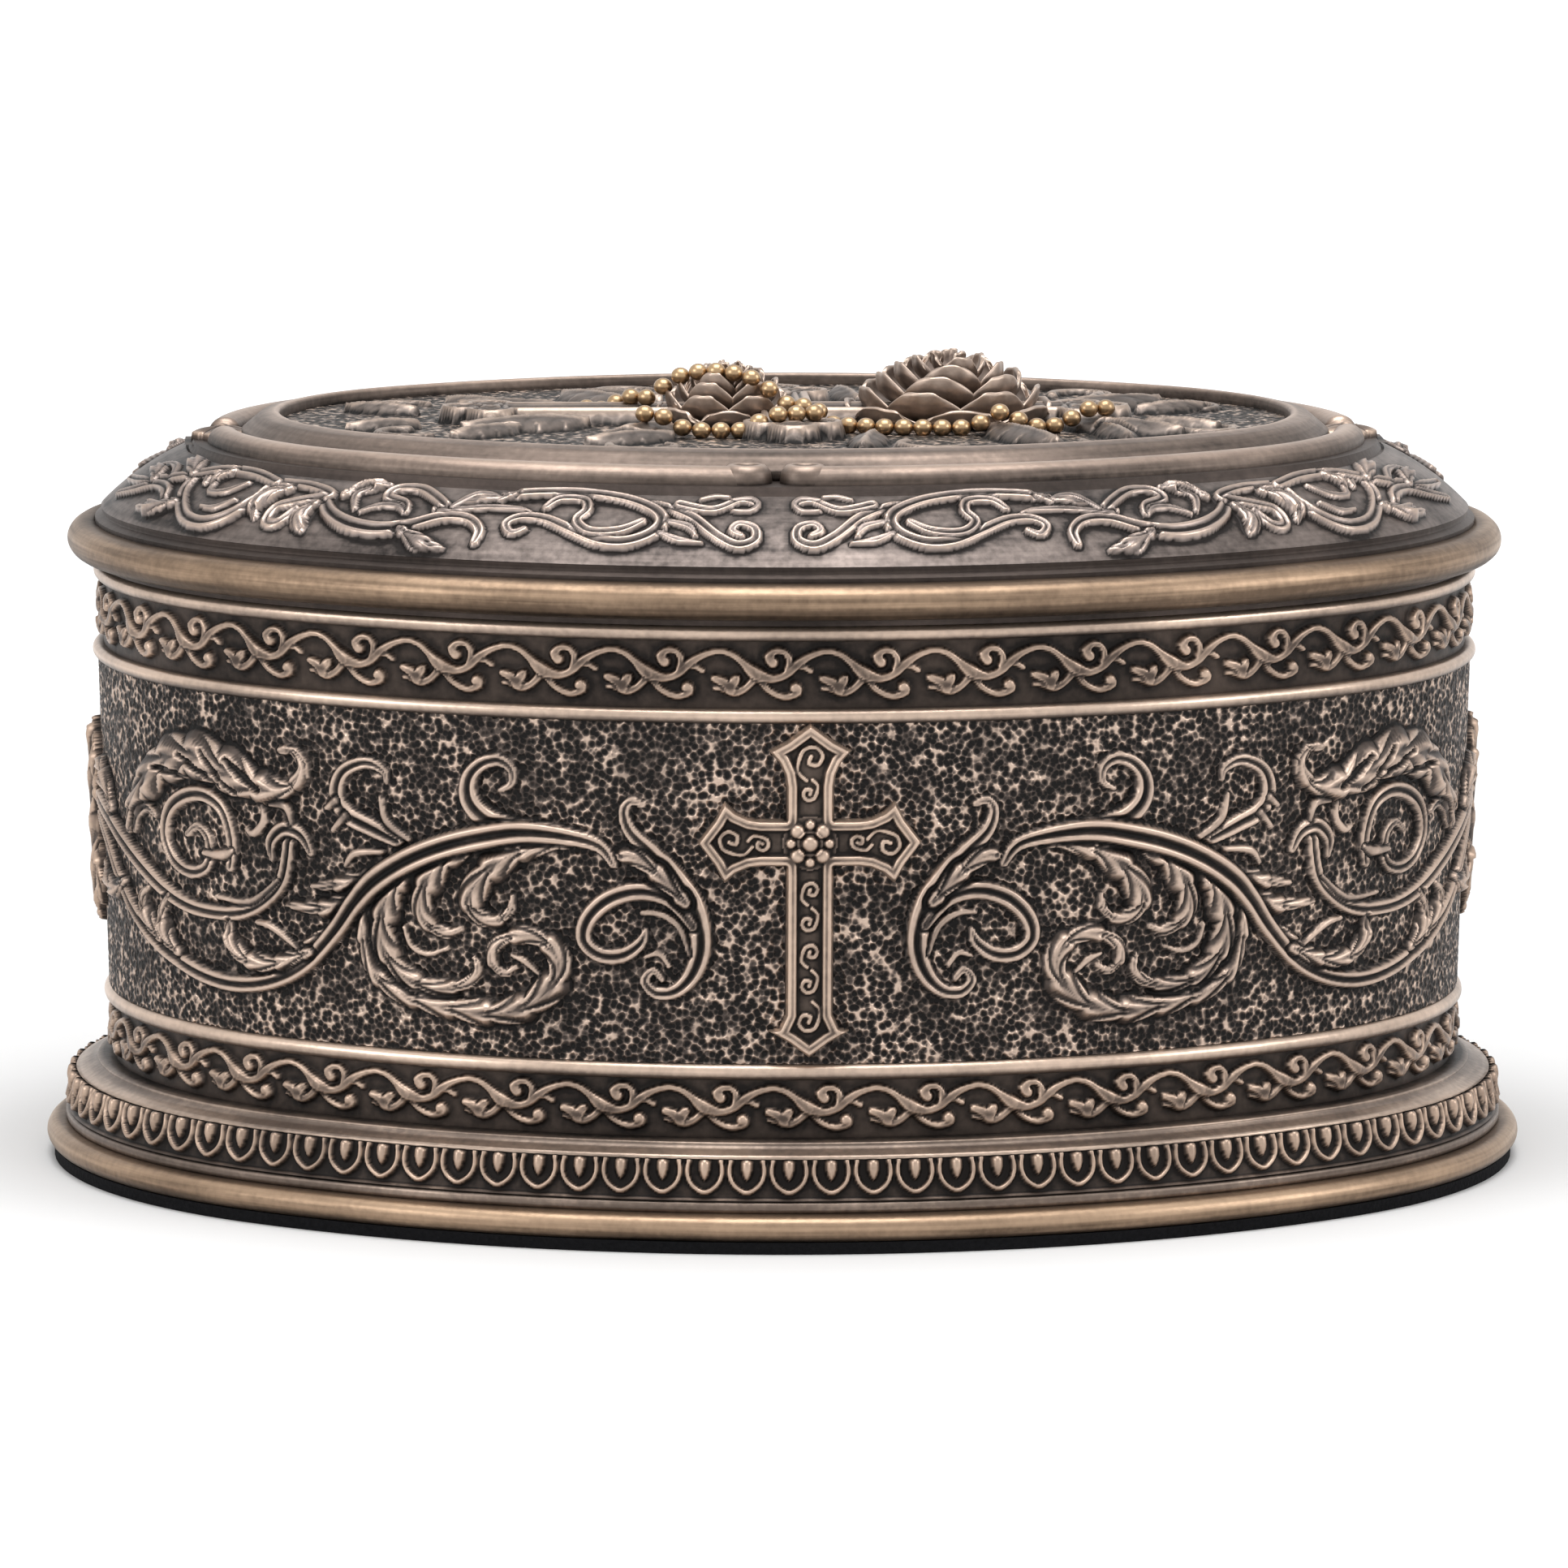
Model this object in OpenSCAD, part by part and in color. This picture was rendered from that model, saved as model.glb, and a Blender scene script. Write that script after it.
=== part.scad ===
// Oval keepsake box with a lift-off lid, in cast relief with a felt base.
// Origin at the middle of the base, +X along the length, -Y towards the front, +Z up.
// Places on the curved surfaces are given as a run along the oval from the middle of the front,
// an offset outwards from the wall's own oval, and a height.

/* [Oval] */
// Length of the wall's oval, end to end
wall_length = 118; // [112:1:126]
// Width of the wall's oval, front to back
wall_width = 90; // [86:1:96]

/* [Body] */
// Thickness of the wall
wall_thick = 4.5; // [3.5:0.25:6]
// Thickness of the floor above the felt
floor_thick = 4; // [3:0.5:6]
// How far the wall leans in from the upper bead to the lower bead
wall_lean = 0.75; // [0:0.25:1.5]
// Depth to which bands, beads and foot are let into the wall
seat_depth = 1.2; // [0.8:0.1:1.6]
// Height of the stippled field between the two beads
field_height = 28.4; // [26:0.2:34]

/* [Foot] */
// Thickness of the felt pad
felt_thick = 1; // [0.6:0.1:2]
// How far the felt stays inside the edge of the foot
felt_inset = 0.6; // [0.2:0.1:2]
// Radius of the round moulding at the foot
foot_round = 1.1; // [0.9:0.1:1.6]
// Offset of the foot's widest line from the wall's oval
foot_spread = 4.8; // [4.2:0.1:6]
// Height of the neck between the round moulding and the egg band
foot_neck = 1; // [0.6:0.1:1.6]
// Height of the egg band
egg_band_height = 3.3; // [2.8:0.1:4]
// Height of the sloping fascia above the egg band
fascia_height = 1.3; // [0.9:0.1:2]
// Number of eggs round the foot
egg_count = 98; // [90:2:104]
// Radius of one egg
egg_round = 1.25; // [1:0.05:1.4]

/* [Bands] */
// Height of the lower vine band
lower_band_height = 4.85; // [4.2:0.05:5.6]
// Radius of the lower bead
lower_bead = 0.7; // [0.5:0.05:0.8]
// Radius of the upper bead
upper_bead = 0.6; // [0.5:0.05:0.8]
// Height of the upper vine band
upper_band_height = 5.55; // [5:0.05:6.4]
// How far the bands lie back from the wall's face
band_sink = 0.4; // [0.2:0.05:0.6]
// Number of waves of the upper vine
upper_waves = 37; // [34:1:40]
// Number of waves of the lower vine
lower_waves = 38; // [34:1:40]
// Half thickness of a vine stem
vine_round = 0.36; // [0.3:0.02:0.5]
// Height of a vine's wave above the middle of its band
vine_rise = 1.45; // [1.2:0.05:1.7]
// Radius of a vine's bud
vine_bud = 0.65; // [0.5:0.05:0.8]
// Radius of the mouth moulding
mouth_round = 0.65; // [0.5:0.05:0.8]

/* [Lid] */
// Radius of the round moulding at the lid's edge
rim_round = 1.5; // [1.2:0.1:1.8]
// Offset of the lid's widest line from the wall's oval
rim_spread = 2.7; // [2.2:0.1:3.4]
// Gap that shows between the mouth and the round moulding of the lid
rim_gap = 0.6; // [0.4:0.1:1]
// Height of the neck between the rim and the slope
lid_neck = 1.2; // [0.8:0.1:1.8]
// Rise of the lid's slope
slope_rise = 4.95; // [4:0.05:6]
// Run of the lid's slope
slope_run = 7.3; // [6:0.1:8.5]
// Thickness of the stepped plate on top of the slope
plate_thick = 0.75; // [0.5:0.05:1.2]
// Thickness of the lid's casting
lid_thick = 3.1; // [2.4:0.1:3.6]
// Depth of the lip that drops into the mouth
lip_depth = 3; // [2:0.5:5]
// Thickness of the lip
lip_thick = 2; // [1.5:0.25:3]
// Clearance all round between the lip and the wall
lip_clear = 0.4; // [0.2:0.05:0.8]
// Offset of the lid's ornament along the front, as cast
lid_shift = -2.8; // [-4:0.2:0]

/* [Lid top] */
// Radius of the frame moulding
frame_round = 1.45; // [1.2:0.05:1.7]
// Offset inwards from the plate's edge to the frame moulding's middle
frame_in = 2.5; // [2.2:0.1:3]
// Half width of the gap in the frame moulding at the front and back
frame_gap = 0.75; // [0.5:0.05:1.5]
// Radius of the curl at the end of a frame moulding
frame_curl = 2.1; // [1.9:0.1:2.4]
// Radius of the eye in the curl
frame_eye = 0.75; // [0.5:0.05:1]
// Radius of the flower in the gap at each end
flower_round = 2.6; // [2.2:0.1:3]
// Width of the raised rim round the recess
recess_rim = 3.3; // [2.8:0.1:4]
// Height of the raised rim round the recess
rim_height = 2.4; // [2:0.1:3]
// Height of the pebbled ground above the plate
ground_height = 1.3; // [0.8:0.1:1.8]

/* [Wall relief] */
// Height of the crossing of the wall's cross above the base
cross_z = 33.6; // [32:0.2:36]
// Half width of the cross from tip to tip
cross_reach = 9.3; // [8.5:0.1:10.5]
// Length of the cross above its crossing
cross_up = 10; // [9:0.1:11]
// Length of the cross below its crossing
cross_down = 18; // [16:0.1:18.4]
// Half width of the cross's arms
cross_half = 2; // [1.6:0.1:2.4]
// Half width of the cross's flared ends
cross_flare = 3.5; // [3:0.1:4]
// Thickness of the cross
cross_thick = 1.1; // [0.8:0.1:1.6]
// Width of the cross's raised outline
cross_edge = 0.75; // [0.5:0.05:1]
// Height of the cross's raised outline above its field
cross_lip = 0.45; // [0.3:0.05:0.7]
// Height of a scroll one millimetre wide
scroll_height = 0.85; // [0.6:0.05:1.1]
// Depth to which the scrolls are rooted in the surface
scroll_root = 0.25; // [0.15:0.05:0.4]

/* [Lid relief] */
// Half length of the budded cross on the lid
lid_cross_reach = 30; // [26:1:33]
// Half width of the budded cross on the lid
lid_cross_span = 17; // [15:0.5:19]
// Half width of the budded cross's bars
lid_cross_half = 2.6; // [2:0.1:3.2]
// Thickness of the budded cross
lid_cross_thick = 1.3; // [1:0.1:1.8]
// Radius of one bud of the cross
bud_round = 2.3; // [2:0.1:2.6]
// Radius of the large bloom
bloom_round = 9; // [8:0.25:10]
// Height of the large bloom
bloom_height = 5.1; // [4.6:0.1:6]
// Place of the large bloom along the lid
bloom_x = 14; // [12:0.5:16]
// Radius of the small bloom
small_bloom_round = 6.2; // [5.5:0.1:7]
// Height of the small bloom
small_bloom_height = 4.2; // [3.8:0.1:4.6]
// Place of the small bloom along the lid
small_bloom_x = -5; // [-8:0.5:-4]
// Length of one leaf
leaf_length = 12; // [10:0.5:13]
// Half width of one leaf
leaf_half = 2.5; // [2:0.1:3]
// Thickness of one leaf
leaf_thick = 1.3; // [1:0.1:1.8]
// Radius of one gold bead
string_bead = 0.8; // [0.7:0.05:0.8]
// Least spacing of the gold beads
string_pitch = 1.64; // [1.64:0.02:1.8]

/* [Hidden] */
$fn = 72;

bronze = [0.36, 0.28, 0.23];
dark_bronze = [0.2, 0.16, 0.14];
pale_bronze = [0.62, 0.5, 0.4];
gold = [0.72, 0.56, 0.34];
black_felt = [0.06, 0.06, 0.06];

// The four arcs of the oval, set out on triangles of 3, 4 and 5: centres, radii and lengths of run
semi_length = wall_length / 2;
semi_width = wall_width / 2;
oval_gap = semi_length - semi_width;
join_angle = atan2(4, 3);
end_centre = 1.5 * oval_gap;
long_centre = 2 * oval_gap;
end_radius = semi_length - end_centre;
long_radius = semi_width + long_centre;
long_turn = 90 - join_angle;
end_turn = 2 * join_angle;
run_per_degree = PI / 180;
long_run = long_radius * long_turn * run_per_degree;
end_run = end_radius * end_turn * run_per_degree;
half_run = 2 * long_run + end_run;
end_axis_run = half_run / 2;
to_axis = -1000;
arc_steps = 180;
arc_parts = 12;

// Heights from the surface that the box stands on
foot_bottom = felt_thick;
foot_round_top = foot_bottom + 2 * foot_round;
egg_bottom = foot_round_top + foot_neck;
egg_top = egg_bottom + egg_band_height;
foot_top = egg_top + fascia_height;
lower_band_top = foot_top + lower_band_height;
lower_bead_z = lower_band_top + lower_bead;
field_bottom = lower_bead_z + lower_bead;
field_top = field_bottom + field_height;
upper_bead_z = field_top + upper_bead;
upper_band_bottom = upper_bead_z + upper_bead;
upper_band_top = upper_band_bottom + upper_band_height;
mouth_z = upper_band_top + 2 * mouth_round;
floor_top = felt_thick + floor_thick;

// Offsets from the wall's oval
seat = -seat_depth - wall_lean;
foot_round_in = foot_spread - foot_round;
egg_out = foot_round_in - 0.9;
egg_in = egg_out - 0.75;
fascia_in = -0.15;
lower_face = -wall_lean - band_sink;
upper_face = -band_sink;
fit_face = -wall_thick;

// Heights and offsets of the lid
rim_z = mouth_z + rim_gap + rim_round;
rim_top = rim_z + rim_round;
rim_in = rim_spread - rim_round;
slope_bottom = rim_top + lid_neck;
slope_top = slope_bottom + slope_rise;
slope_out = -0.2;
slope_in = slope_out - slope_run;
slope_bulge = 0.45;
plate_bottom = slope_top;
plate_top = plate_bottom + plate_thick;
plate_edge = slope_in - 0.6;
frame_middle = plate_edge - frame_in;
recess_rim_out = frame_middle - frame_round - 0.2;
recess_edge = recess_rim_out - recess_rim;
rim_crest = plate_top + rim_height;
ground_top = plate_top + ground_height;
lip_out = fit_face - lip_clear;
lip_in = lip_out - lip_thick;

function mix(a, b, t) = a + (b - a) * t;

// Point on the oval at a run from the middle of the front, and the way it faces
function run_turn(run) =
    run < long_run ? run / long_radius / run_per_degree :
    run < long_run + end_run ? long_turn + (run - long_run) / end_radius / run_per_degree :
    180 - long_turn + (run - long_run - end_run) / long_radius / run_per_degree;
function on_end(run) = run >= long_run && run < long_run + end_run;
function quarter_point(run, off, turn, radius, cx, cy) =
    [cx + (radius + off) * sin(turn), cy - (radius + off) * cos(turn)];
function half_point(run, off) =
    on_end(run) ? quarter_point(run, off, run_turn(run), end_radius, end_centre, 0) :
    quarter_point(run, off, run_turn(run), long_radius, 0, run < long_run ? long_centre : -long_centre);
function wrap(run) = run > half_run ? run - 2 * half_run : run < -half_run ? run + 2 * half_run : run;
function side(run) = run < 0 ? -1 : 1;
function oval_point(run, off, z) =
    let (r = wrap(run), p = half_point(abs(r), off)) [side(r) * p[0], p[1], z];
function oval_turn(run) = let (r = wrap(run)) side(r) * run_turn(abs(r));

// A sector of a profile turned about a centre, between two rays that meet there
module sector(radius, rays, profile) {
    reach = 2 * wall_length;
    intersection() {
        rotate_extrude($fn = arc_steps) polygon([for (p = profile) [max(0, radius + p[0]), p[1]]]);
        linear_extrude(reach) polygon([[0, 0], reach * rays[0], reach * rays[1]]);
    }
}

// A profile of offset and height carried round the four arcs, as far in as the middle
module oval_solid(profile) {
    for (half = [-1, 1]) {
        translate([half * end_centre, 0]) sector(end_radius, [[half * 0.6, -0.8], [half * 0.6, 0.8]], profile);
        translate([0, -half * long_centre]) sector(long_radius, [[-0.6, half * 0.8], [0.6, half * 0.8]], profile);
    }
}

// A ring whose outer profile is given, with an upright bore
module oval_ring(outer, bore) {
    oval_solid(concat(outer, [[bore, outer[len(outer) - 1][1]], [bore, outer[0][1]]]));
}
function arc_points(x, z, r, from, to) =
    [for (i = [0 : arc_parts]) let (a = mix(from, to, i / arc_parts)) [x + r * cos(a), z + r * sin(a)]];

// Stands its children on the oval at a run and offset, their +Y outwards
module stand_on_oval(run, off, z) {
    translate(oval_point(run, off, z)) rotate(oval_turn(run) + 180) children();
}

// A stroke of relief: points of place along, place up and width, smoothed and swept as one solid
function knot(p, i) = p[max(0, min(len(p) - 1, i))];
function curve_at(a, b, c, d, t) =
    0.5 * (2 * b + (c - a) * t + (2 * a - 5 * b + 4 * c - d) * t * t + (3 * b - a - 3 * c + d) * t * t * t);
function smooth_path(p, steps) = [
    for (i = [0 : len(p) - 2]) for (k = [0 : steps - 1])
        curve_at(knot(p, i - 1), p[i], p[i + 1], knot(p, i + 2), k / steps),
    p[len(p) - 1]
];
function heading(p, i) =
    let (d = knot(p, i + 1) - knot(p, i - 1), n = norm([d[0], d[1]])) [d[0] / n, d[1] / n];
function stroke_height(w) = scroll_height * min(1.5, 0.35 + 0.5 * w);

// Four corners of a stroke's section: root, crest, crest, root
function stroke_corner(k) = [[-0.5, 0], [-0.3, 1], [0.3, 1], [0.5, 0]][k];

module sweep(rings) {
    count = len(rings);
    sides = len(rings[0]);
    faces = [
        for (i = [0 : count - 2]) for (k = [0 : sides - 1])
            let (a = i * sides + k, b = i * sides + (k + 1) % sides) each [[a, b, b + sides], [a, b + sides, a + sides]]
    ];
    first = [for (k = [1 : sides - 2]) [0, k + 1, k]];
    last = [for (k = [1 : sides - 2]) let (e = (count - 1) * sides) [e, e + k, e + k + 1]];
    polyhedron([for (r = rings) each r], concat(faces, first, last));
}

// Wall strokes: mirrored to the left with hand -1, and set back by turning for the rear
function wall_offset(z) = mix(-wall_lean, 0, (z - field_bottom) / field_height);
function wall_ring(p, i, hand) =
    let (d = heading(p, i), w = p[i][2], h = stroke_height(w))
    [for (k = [0 : 3])
        let (c = stroke_corner(hand > 0 ? k : 3 - k), u = p[i][0] - d[1] * w * c[0], z = p[i][1] + d[0] * w * c[0])
        oval_point(hand * u, wall_offset(z) + (c[1] > 0 ? h : -scroll_root), z)];
module wall_stroke(points, hand) {
    path = smooth_path(points, 2);
    sweep([for (i = [0 : len(path) - 1]) wall_ring(path, i, hand)]);
}

// Slope strokes: place up is a share of the slope in tenths
slope_length = norm([slope_run, slope_rise]);
function slope_line(f, out) =
    let (lift = 4 * slope_bulge * f * (1 - f) + out)
    [slope_out - slope_run * f + lift * slope_rise / slope_length,
        slope_bottom + slope_rise * f + lift * slope_run / slope_length];
function slope_point(run, t, out) =
    let (p = slope_line(t / 10, out)) oval_point(run, p[0], p[1]);
function slope_ring(p, i, hand) =
    let (d = heading(p, i), w = p[i][2], h = 0.75 * stroke_height(w), up = 10 / slope_length)
    [for (k = [0 : 3])
        let (c = stroke_corner(hand > 0 ? k : 3 - k))
        slope_point(hand * (p[i][0] - d[1] * w * c[0]) + lid_shift, p[i][1] + d[0] * w * c[0] * up,
            c[1] > 0 ? h : -scroll_root)];
module slope_stroke(points, hand) {
    path = smooth_path(points, 2);
    sweep([for (i = [0 : len(path) - 1]) slope_ring(path, i, hand)]);
}

// The wall's scroll, from the cross to the end: run, height and width of each point
wall_scroll = [
    [[12.2, 22.1, 0.6], [12.9, 22.8, 0.7], [13.6, 21.9, 0.9], [12.6, 20.9, 1.1], [10.9, 21.2, 1.3],
        [9.5, 22.8, 1.7], [8.9, 25.2, 1.9], [9.5, 28, 2.2], [11, 30.4, 2.2], [13, 32.6, 1.7],
        [14.8, 34.4, 1.2], [15.3, 36, 1], [14.7, 36.9, 0.8], [13.7, 36.6, 0.6]],
    [[10.2, 28.6, 1.2], [12.5, 31, 1.6], [14.6, 32.3, 1.3], [16.4, 32.1, 0.6]],
    [[9.6, 26.6, 1], [11.4, 28.7, 1.4], [13.9, 29.4, 1.6], [16.5, 28.7, 1.7], [18.3, 27, 1.6],
        [18.7, 25.2, 1.4], [17.4, 24, 1.4], [15.5, 24, 1.4], [14, 25, 1.1], [13.5, 26.2, 0.5]],
    [[24, 34.4, 1.2], [26.8, 34.9, 1.9], [28.4, 36.4, 1.8], [28.5, 38.2, 1.5], [27.4, 39.5, 1.3],
        [25.9, 39.9, 1.1], [24.8, 39.2, 0.9], [24.8, 38, 0.7], [25.8, 37.4, 0.5]],
    [[16.2, 31.6, 0.8], [17.4, 33.1, 1.2], [20.3, 33.8, 1.6], [24, 34, 2], [27.5, 33.4, 2.2],
        [31, 32.4, 2.2], [34.2, 31, 2.2], [37, 29.2, 2.2], [39, 27.2, 1.9], [41, 24.6, 1.7],
        [44, 21.6, 1.6], [47.5, 19.8, 1.5], [51.5, 19.1, 1.5], [55.5, 19.4, 1.5], [59.5, 20.4, 1.5],
        [63, 21.6, 1.5], [67, 23.6, 1.4], [70.5, 26, 1.3], [74, 28.4, 1.2], [78, 30, 1.2]],
    [[20, 33.4, 1], [23.8, 32.5, 1.6], [26.3, 31.1, 2], [28, 29.2, 2], [28.4, 27.6, 1.6],
        [27.4, 26.6, 1.3], [26, 26.5, 1], [25, 27.4, 0.8], [24.8, 28.5, 0.5]],
    [[27, 33.6, 1.2], [30.3, 31.8, 1.8], [32.3, 29.3, 2], [32.8, 27.1, 1.7], [32, 25.7, 1.3],
        [30.6, 25.2, 1], [29.3, 25.6, 0.5]],
    [[32, 31.8, 1.2], [34.9, 29.3, 1.8], [36.3, 26.4, 2], [36.2, 23.6, 1.8], [34.4, 21.4, 1.5],
        [31.5, 20.5, 1.3], [29, 21, 1.1], [27.8, 22.2, 0.8], [28.2, 23.2, 0.5]],
    [[38.4, 28, 1], [38.2, 25, 1.5], [37.6, 22.6, 1.8], [36.2, 20.6, 1.8], [33.3, 19.5, 1.8],
        [29.8, 18.9, 1.8], [26.3, 18.7, 1.9], [23.3, 19.6, 2.1], [21.3, 21.4, 2.1], [20.7, 23, 1.9],
        [21.4, 24.5, 1.6], [23, 25.3, 1.4], [24.9, 25.2, 1.3], [26.4, 24.3, 1.1], [26.6, 22.9, 0.9],
        [25.6, 22.1, 0.8], [24.6, 22.6, 0.6]],
    [[35, 32.6, 1.2], [37.5, 33.6, 1.6], [39.8, 34.6, 1.7], [40.7, 36.3, 1.5], [40, 38.1, 1.3],
        [37.9, 39, 1.1], [36.2, 38.4, 0.8], [36, 37.5, 0.5]],
    [[37.6, 29.6, 1], [40, 28.7, 1.3], [43.3, 28.2, 0.5]],
    [[39, 27.7, 1], [41.8, 26.5, 1.4], [46, 26.4, 0.5]],
    [[43.6, 22.6, 0.9], [47.3, 21.3, 1.4], [50.3, 21.4, 1.4], [52.1, 22.7, 1.2], [52.2, 24.4, 0.5]],
    [[43.4, 31, 0.8], [44.3, 32.4, 1.2], [46, 32.8, 1.4], [47.4, 31.6, 1.2], [47.4, 30.1, 0.6]],
    [[45.5, 32, 1.2], [46.2, 28.6, 1.3], [48, 26.6, 1.3], [50.6, 25.3, 1.3], [53.8, 24.9, 1.3],
        [57.3, 25.1, 1.4], [60.8, 26, 1.5], [64.8, 27.6, 1.6], [68.8, 29.2, 1.6], [73, 30.6, 1.5],
        [78, 31.6, 1.5]],
    [[46.2, 39.4, 0.7], [44.8, 39.4, 1], [44, 38, 1.2], [45.2, 36.4, 1.4], [47.6, 36, 2.2],
        [50.3, 36.6, 3], [53.3, 37.6, 3.4], [56.3, 38, 3.4], [59.8, 37.3, 3.3], [63, 35.4, 3],
        [65.6, 32.8, 2.2], [67.3, 30.6, 1.2]],
    [[52, 29, 1], [51.8, 31.4, 1.2], [52.8, 33.8, 1.3], [55, 34.8, 1.4], [57.6, 34.4, 1.5],
        [59.8, 33, 1.5], [60.6, 30.8, 1.4], [59.4, 28.8, 1.3], [57, 28, 1.2], [54.8, 28.8, 1.1],
        [54.6, 31, 1], [56, 32, 0.8], [57.4, 31.2, 0.7]]
];

// The slope's scroll, from the middle of the front to the end: run, tenths up the slope and width
slope_scroll = [
    [[3, 3.6, 0.6], [3.8, 4.3, 0.7], [3.2, 5.2, 0.7], [1.9, 4.6, 0.8], [1.8, 3, 0.9], [3.2, 2.2, 1],
        [5, 3.4, 1], [7.4, 6, 1.1], [9.6, 7.4, 1], [11.4, 8.2, 0.8]],
    [[1.8, 8.2, 0.6], [3.2, 8.8, 0.8], [5.6, 7.2, 0.9], [8.6, 8, 1]],
    [[30.5, 6, 1], [27, 7.2, 1.2], [23.3, 9, 1.2], [18.3, 9.5, 1.2], [14, 8.8, 1.2], [11, 7.2, 1.2],
        [9.9, 5.4, 1.2], [10.6, 3.6, 1.2], [12.6, 2.4, 1.2], [15, 2.5, 1.2], [17.6, 3.8, 1.1],
        [20.2, 5.2, 1], [22.4, 5.4, 0.9], [23.6, 4.4, 0.8], [22.8, 3.2, 0.7], [21.8, 3.8, 0.6]],
    [[20.6, 7, 0.7], [19.6, 8.4, 0.9], [17.4, 8.4, 0.9], [16.8, 6.8, 0.9], [17.4, 5.2, 0.9],
        [16, 3.8, 0.9], [13.4, 4, 0.9], [11.6, 5.4, 0.7]],
    [[42.3, 6.4, 1], [40.6, 4.4, 1.3], [38, 3, 1.5], [35, 2.6, 1.5], [32.2, 3.4, 1.3],
        [29.6, 4.8, 1.2], [27.2, 4.8, 1], [25.8, 3.4, 0.9], [25.8, 1.8, 0.7]],
    [[29.6, 6.2, 1], [31.4, 7.8, 1.1], [33.4, 9, 1.1], [35.6, 8.8, 1], [36, 7.4, 1], [34, 6.6, 0.9],
        [33.4, 5.4, 0.7]],
    [[44.4, 4.6, 0.7], [45.2, 2.6, 0.9], [46.6, 2.6, 0.9], [46.6, 4.6, 0.9], [44.8, 5.6, 1],
        [42, 7, 1.1], [45, 8.2, 1], [49.4, 8.2, 1]],
    [[49.4, 8.2, 1], [49.8, 5.6, 1.1], [51, 3, 1.2], [53.4, 1.5, 1.3], [56.4, 1.8, 1.2],
        [59, 3.4, 1.1], [61, 5.4, 1], [61.6, 7.2, 0.9], [60, 7.8, 0.8], [59, 6.6, 0.6]],
    [[49.4, 8.2, 1], [53.5, 9.2, 1.1], [58.5, 9, 1.1], [62.5, 7.4, 1.1], [66.5, 5.8, 1.1],
        [71.5, 4.6, 1], [76.5, 4, 0.8]],
    [[62.4, 3, 0.7], [64, 4.6, 1], [67, 4.8, 1], [70.5, 3.4, 0.9], [74, 2.2, 0.7]]
];

module felt_pad() {
    color(black_felt)
        oval_solid([[to_axis, 0], [foot_spread - felt_inset, 0], [foot_spread - felt_inset, felt_thick],
            [to_axis, felt_thick]]);
}

module foot_moulding() {
    chamfer = 0.2;
    neck_out = egg_out + 0.35;
    ledge = fascia_in + 0.6;
    color(bronze) oval_ring(concat(
        arc_points(foot_round_in, foot_bottom + foot_round, foot_round, -90, 90),
        [[neck_out, foot_round_top + chamfer], [neck_out, egg_bottom - chamfer], [egg_out, egg_bottom],
            [egg_in, egg_top], [egg_in + chamfer, egg_top + chamfer / 2], [ledge, foot_top - 2 * chamfer],
            [ledge, foot_top - chamfer], [fascia_in, foot_top]]), seat);
}

// One egg lies against the sloping band, with a dart between each two
module egg_and_dart() {
    pitch = 2 * half_run / egg_count;
    egg_z = mix(egg_bottom, egg_top, 0.5);
    egg_seat = mix(egg_out, egg_in, 0.5);
    sink = 0.45;
    dart = 0.28;
    dart_end = 0.2;
    color(pale_bronze) for (i = [0 : egg_count - 1]) {
        stand_on_oval((i + 0.5) * pitch - half_run, egg_seat - sink, egg_z) sphere(egg_round);
        stand_on_oval(i * pitch - half_run, egg_seat - dart / 3, egg_bottom + dart_end)
            cylinder(r = dart, h = egg_band_height - 2 * dart_end, $fn = 16);
    }
}

module box_shell() {
    color(dark_bronze)
        oval_solid([[to_axis, felt_thick], [seat, felt_thick], [seat, field_bottom],
            [-wall_lean, field_bottom], [0, field_top], [-seat_depth, field_top],
            [-seat_depth, mouth_z], [fit_face, mouth_z], [fit_face, floor_top], [to_axis, floor_top]]);
}

module lower_band() {
    color(dark_bronze) oval_ring([[lower_face, foot_top], [lower_face, lower_band_top]], seat);
}

module upper_band() {
    color(dark_bronze)
        oval_ring([[upper_face, upper_band_bottom], [upper_face, upper_band_top]], -seat_depth);
}

// A running vine: arcs turned up and down in turn, with a bud in each hollow
module vine(waves, face, middle) {
    reach = half_run / waves / 2;
    drop = (reach * reach - vine_rise * vine_rise) / (2 * vine_rise);
    bend = drop + vine_rise;
    lean = asin(drop / bend);
    color(pale_bronze) for (i = [0 : 2 * waves - 1])
        stand_on_oval((2 * i + 1) * reach - half_run, face, middle) rotate([90, i % 2 == 0 ? 0 : 180, 0]) {
            translate([0, -drop]) rotate(lean) rotate_extrude(angle = 180 - 2 * lean, $fn = 48)
                translate([bend, 0]) circle(vine_round, $fn = 24);
            translate([0, -vine_bud / 2, 0]) sphere(vine_bud, $fn = 24);
        }
}

module lower_vine() { vine(lower_waves, lower_face, mix(foot_top, lower_band_top, 0.5)); }
module upper_vine() { vine(upper_waves, upper_face, mix(upper_band_bottom, upper_band_top, 0.5)); }

// A bead let into the wall: half round outside, straight behind
module bead(middle, foot, r, bore) {
    color(bronze) oval_ring(arc_points(middle, foot + r, r, -90, 90), bore);
}

module lower_bead_ring() { bead(-wall_lean - 0.15, lower_band_top, lower_bead, seat); }
module upper_bead_ring() { bead(0, field_top, upper_bead, -seat_depth); }
module mouth_moulding() { bead(-0.15, upper_band_top, mouth_round, -seat_depth); }

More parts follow.
